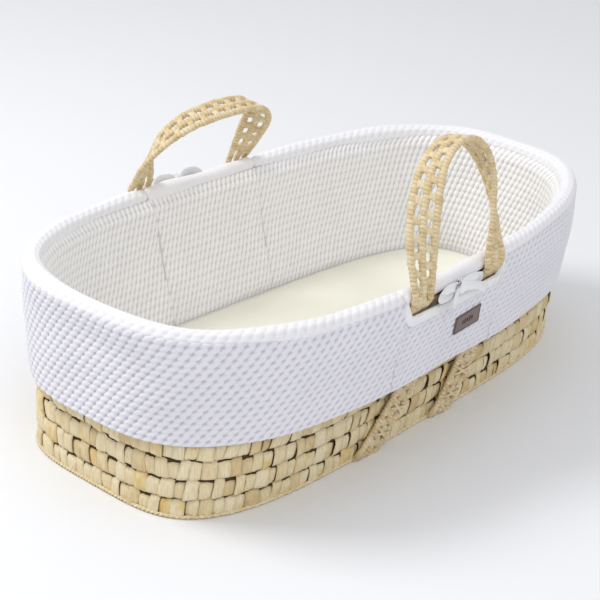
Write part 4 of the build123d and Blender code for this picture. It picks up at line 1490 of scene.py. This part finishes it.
@dataclass
class LabelPatch:
    """The small woven label: a hemmed patch with a plain raised mark."""

    x: float = 0.016
    height: float = 0.156
    length: float = 0.050
    tall: float = 0.025
    turn: float = math.radians(4.0)
    thickness: float = 0.0012
    hem: float = 0.0010
    raised: float = 0.0003

    def axes(self) -> tuple[Vector, Vector, Vector, Vector]:
        """The label's middle, and its directions along, up and out."""
        at, normal = FORM.face_frame(self.x, self.height, Side.NEAR, skirt=True)
        along = (Vector((1, 0, 0)) - normal * normal.x).normalized()
        upward = normal.cross(along)
        upward = -upward if upward.z < 0 else upward
        turned = along * math.cos(self.turn) + upward * math.sin(self.turn)
        return at + normal * 0.0014, turned, upward * math.cos(self.turn) - along * math.sin(self.turn), normal

    def slab(self, name: str, rects: list[tuple[float, float, float, float]], low: float, high: float,
             bevel: float) -> bpy.types.Object:
        """Raised, bevelled rectangles on the label.

        Args:
            name: the piece's name.
            rects: (along, up, length, height) of each rectangle.
            low: height of their undersides over the skirt.
            high: height of their tops.
            bevel: width of their rounded edges.

        Returns:
            The rectangles as one object.
        """
        at, along, upward, normal = self.axes()
        clear_selection()
        made = []
        for a, b, length, tall in rects:
            bpy.ops.mesh.primitive_cube_add(size=1.0, location=(a, b, (low + high) / 2))
            bpy.ops.transform.resize(value=(length, tall, high - low))
            bpy.ops.object.transform_apply(location=True, rotation=True, scale=True)
            made.append(bpy.context.object)
        for block in made:
            block.select_set(True)
        if len(made) > 1:
            bpy.ops.object.join()
        piece = bpy.context.object
        piece.name = piece.data.name = name
        edge = piece.modifiers.new("edge", "BEVEL")
        edge.width, edge.segments = bevel, 3
        bpy.ops.object.modifier_apply(modifier="edge")
        for vertex in piece.data.vertices:
            x, y, z = vertex.co
            sag = 0.0008 * math.sin(x * 70) * (0.5 - y / self.tall)
            vertex.co = at + along * x + upward * y + normal * (z + sag)
        piece.data.shade_smooth()
        face_outwards(piece)
        return piece

    def build(self) -> None:
        """Make the patch, its hem and its mark."""
        length, tall, rim = self.length, self.tall, self.hem
        low, high = self.thickness - 0.0002, self.thickness + self.raised
        patch = self.slab("label_patch", [(0, 0, length, tall)], 0.0, self.thickness, 0.0005)
        place(patch, "basket", "label", Finish.LABEL, "label")
        hem = [(0, sign * (tall / 2 - rim), length - rim, rim) for sign in (-1, 1)]
        hem += [(sign * (length / 2 - rim), 0, rim, tall - 3 * rim) for sign in (-1, 1)]
        bars = [(-0.009 + 0.0045 * k, 0.0, 0.0022, 0.0052 + 0.0018 * (k % 2)) for k in range(5)]
        for name, rects in (("label_hem", hem), ("label_mark", bars)):
            place(self.slab(name, rects, low, high, 0.0002), "basket", "label", Finish.LABEL_EDGE)


# ---- mattress ----------------------------------------------------------------------------------
@dataclass
class Mattress:
    """The fitted sheet, stretched over the foam core."""

    round_edge: float = 0.011
    crown: float = 0.0035
    cloth: float = 0.0012

    def ring(self, turns: np.ndarray, offset: float, z: float) -> np.ndarray:
        """A ring of places round the mattress."""
        return np.column_stack([FORM.mattress.points(turns, offset)[0], np.full(len(turns), z)])

    def top_ring(self, turns: np.ndarray, share: float) -> np.ndarray:
        """A ring of places on the crowned top, with faint folds towards the edge.

        Args:
            turns: angles round the mattress.
            share: the ring's size as a share of the top's.

        Returns:
            The places.
        """
        flat = FORM.mattress.points(turns, -self.round_edge)[0] * share
        fold = 0.0007 * np.sin(flat[:, 0] * 19 + flat[:, 1] * 46) * share ** 2
        fold += 0.0005 * np.sin(flat[:, 0] * 61 - flat[:, 1] * 30 + 1) * share ** 3
        return np.column_stack([flat, FORM.mattress_top + self.crown * (1 - share ** 4) + fold])

    def build(self) -> None:
        """Make the sheet and dress the core."""
        turns = FORM.turns(0, FULL_TURN, 361)[:-1]
        shoulder = FORM.mattress_top - self.round_edge
        rings = [self.ring(turns, 0.0, z) for z in np.linspace(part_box("fitted_sheet")[0].z, shoulder, 8)]
        for angle in np.radians(np.linspace(15, 90, 6)):
            inset, rise = self.round_edge * (1 - math.cos(angle)), self.round_edge * (1 - math.sin(angle))
            rings.append(self.ring(turns, -inset, FORM.mattress_top - rise))
        rings += [self.top_ring(turns, share) for share in np.linspace(0.93, 0.03, 22)]
        points = np.stack(rings, 1)
        inner = points - grid_normals(points, wrap=True) * self.cloth
        count_u, count_v = points.shape[:2]
        offset = count_u * count_v
        faces = grid_faces(count_u, count_v, wrap=True)
        faces += grid_faces(count_u, count_v, offset, wrap=True, flip=True)
        for i in range(count_u):
            k = (i + 1) % count_u
            faces.append((k * count_v, i * count_v, offset + i * count_v, offset + k * count_v))
        faces.append([i * count_v + count_v - 1 for i in range(count_u)])
        faces.append([offset + i * count_v + count_v - 1 for i in reversed(range(count_u))])
        sheet = new_piece("cream_fitted_sheet", np.concatenate([points.reshape(-1, 3), inner.reshape(-1, 3)]), faces)
        face_outwards(sheet)
        place(sheet, "mattress", "sheet", Finish.SHEET, "fitted_sheet")
        dress(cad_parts["mattress_core"], Finish.FOAM)


# ---- studio ------------------------------------------------------------------------------------
@dataclass
class Studio:
    """Camera, floor and soft lights."""

    eye: tuple = (-1.4628, -1.2123, 0.9930)
    azimuth: float = -49.54
    elevation: float = 24.95
    roll: float = 3.28
    lens: float = 98.5

    def camera(self) -> None:
        """The camera at the standing view."""
        data = bpy.data.cameras.new("camera")
        data.lens, data.sensor_width = self.lens, 36.0
        data.clip_end = 50.0
        camera = bpy.data.objects.new("camera", data)
        bpy.context.scene.collection.objects.link(camera)
        az, el, roll = (math.radians(v) for v in (self.azimuth, self.elevation, self.roll))
        back = Vector((math.sin(az) * math.cos(el), -math.cos(az) * math.cos(el), math.sin(el)))
        right = (-back).cross(UP).normalized()
        up = right.cross(-back)
        right, up = right * math.cos(roll) + up * math.sin(roll), up * math.cos(roll) - right * math.sin(roll)
        turned = Matrix((right, up, back)).transposed().to_4x4()
        camera.matrix_world = Matrix.Translation(self.eye) @ turned
        bpy.context.scene.camera = camera

    def floor(self) -> None:
        """A plain pale floor."""
        clear_selection()
        bpy.ops.mesh.primitive_plane_add(size=40.0, location=(0, 0, 0))
        floor = bpy.context.object
        floor.name = "floor"
        material = bpy.data.materials.new("pale_floor")
        material.use_nodes = True
        shader = material.node_tree.nodes["Principled BSDF"]
        shader.inputs["Base Color"].default_value = (0.84, 0.845, 0.86, 1)
        shader.inputs["Roughness"].default_value = 0.9
        shader.inputs["Specular IOR Level"].default_value = 0.1
        floor.data.materials.append(material)

    def light(self, name: str, at: tuple, aim: tuple, size: float, power: float) -> None:
        """Add one soft square light.

        Args:
            name: the light's name.
            at: where it hangs.
            aim: the place that it is aimed at.
            size: the length of its side.
            power: its power, in watts.
        """
        data = bpy.data.lights.new(name, "AREA")
        data.shape, data.size, data.energy = "SQUARE", size, power
        lamp = bpy.data.objects.new(name, data)
        bpy.context.scene.collection.objects.link(lamp)
        lamp.location = at
        lamp.rotation_euler = (Vector(aim) - Vector(at)).to_track_quat("-Z", "Y").to_euler()

    def build(self) -> None:
        """Set the camera, the floor and the lights."""
        bpy.context.scene.view_settings.view_transform = "Standard"
        self.camera()
        self.floor()
        world = bpy.data.worlds.new("studio")
        bpy.context.scene.world = world
        world.use_nodes = True
        background = world.node_tree.nodes["Background"]
        background.inputs["Color"].default_value = (0.97, 0.98, 1.0, 1)
        background.inputs["Strength"].default_value = 0.70
        self.light("key", (-1.3, 1.5, 2.4), (0, 0, 0.1), 1.1, 44)
        self.light("fill", (-1.0, -1.9, 2.3), (0, 0.1, 0.1), 1.8, 16)


NEAR_ARCH = ((-0.0725, 0), (-0.071, 0.014), (-0.066, 0.050), (-0.052, 0.096), (-0.027, 0.138), (0.016, 0.157),
             (0.055, 0.140), (0.075, 0.100), (0.078, 0.050), (0.0735, 0.014), (0.0725, 0))
FAR_ARCH = ((-0.086, 0), (-0.088, 0.014), (-0.096, 0.048), (-0.087, 0.085), (-0.058, 0.110), (-0.018, 0.119),
            (0.022, 0.120), (0.057, 0.112), (0.080, 0.084), (0.085, 0.045), (0.0865, 0.014), (0.086, 0))


def main() -> None:
    """Build the basket, piece by piece."""
    logging.basicConfig(level=logging.INFO, format="%(message)s")
    Studio().build()
    PalmBody().build()
    straps = (CarryStrap(name="head_strap", index=0, routes={Side.NEAR: (-0.112, -0.060, -0.066, -0.090),
                                                             Side.FAR: (-0.112, -0.111, -0.109, -0.108)}),
              CarryStrap(name="foot_strap", index=1, routes={Side.NEAR: (0.039, 0.070, 0.068, 0.055),
                                                             Side.FAR: (0.058, 0.062, 0.064, 0.064)}))
    for strap in straps:
        strap.build()
    Lashings(straps).build()
    Dressing().build()
    TieBow(Side.NEAR, -0.027).build()
    TieBow(Side.FAR, -0.036).build()
    LabelPatch().build()
    Mattress().build()
    Handle(side=Side.NEAR, lean=13.5, arch=NEAR_ARCH).build()
    Handle(side=Side.FAR, lean=30.0, arch=FAR_ARCH).build()


if __name__ == "__main__":
    main()
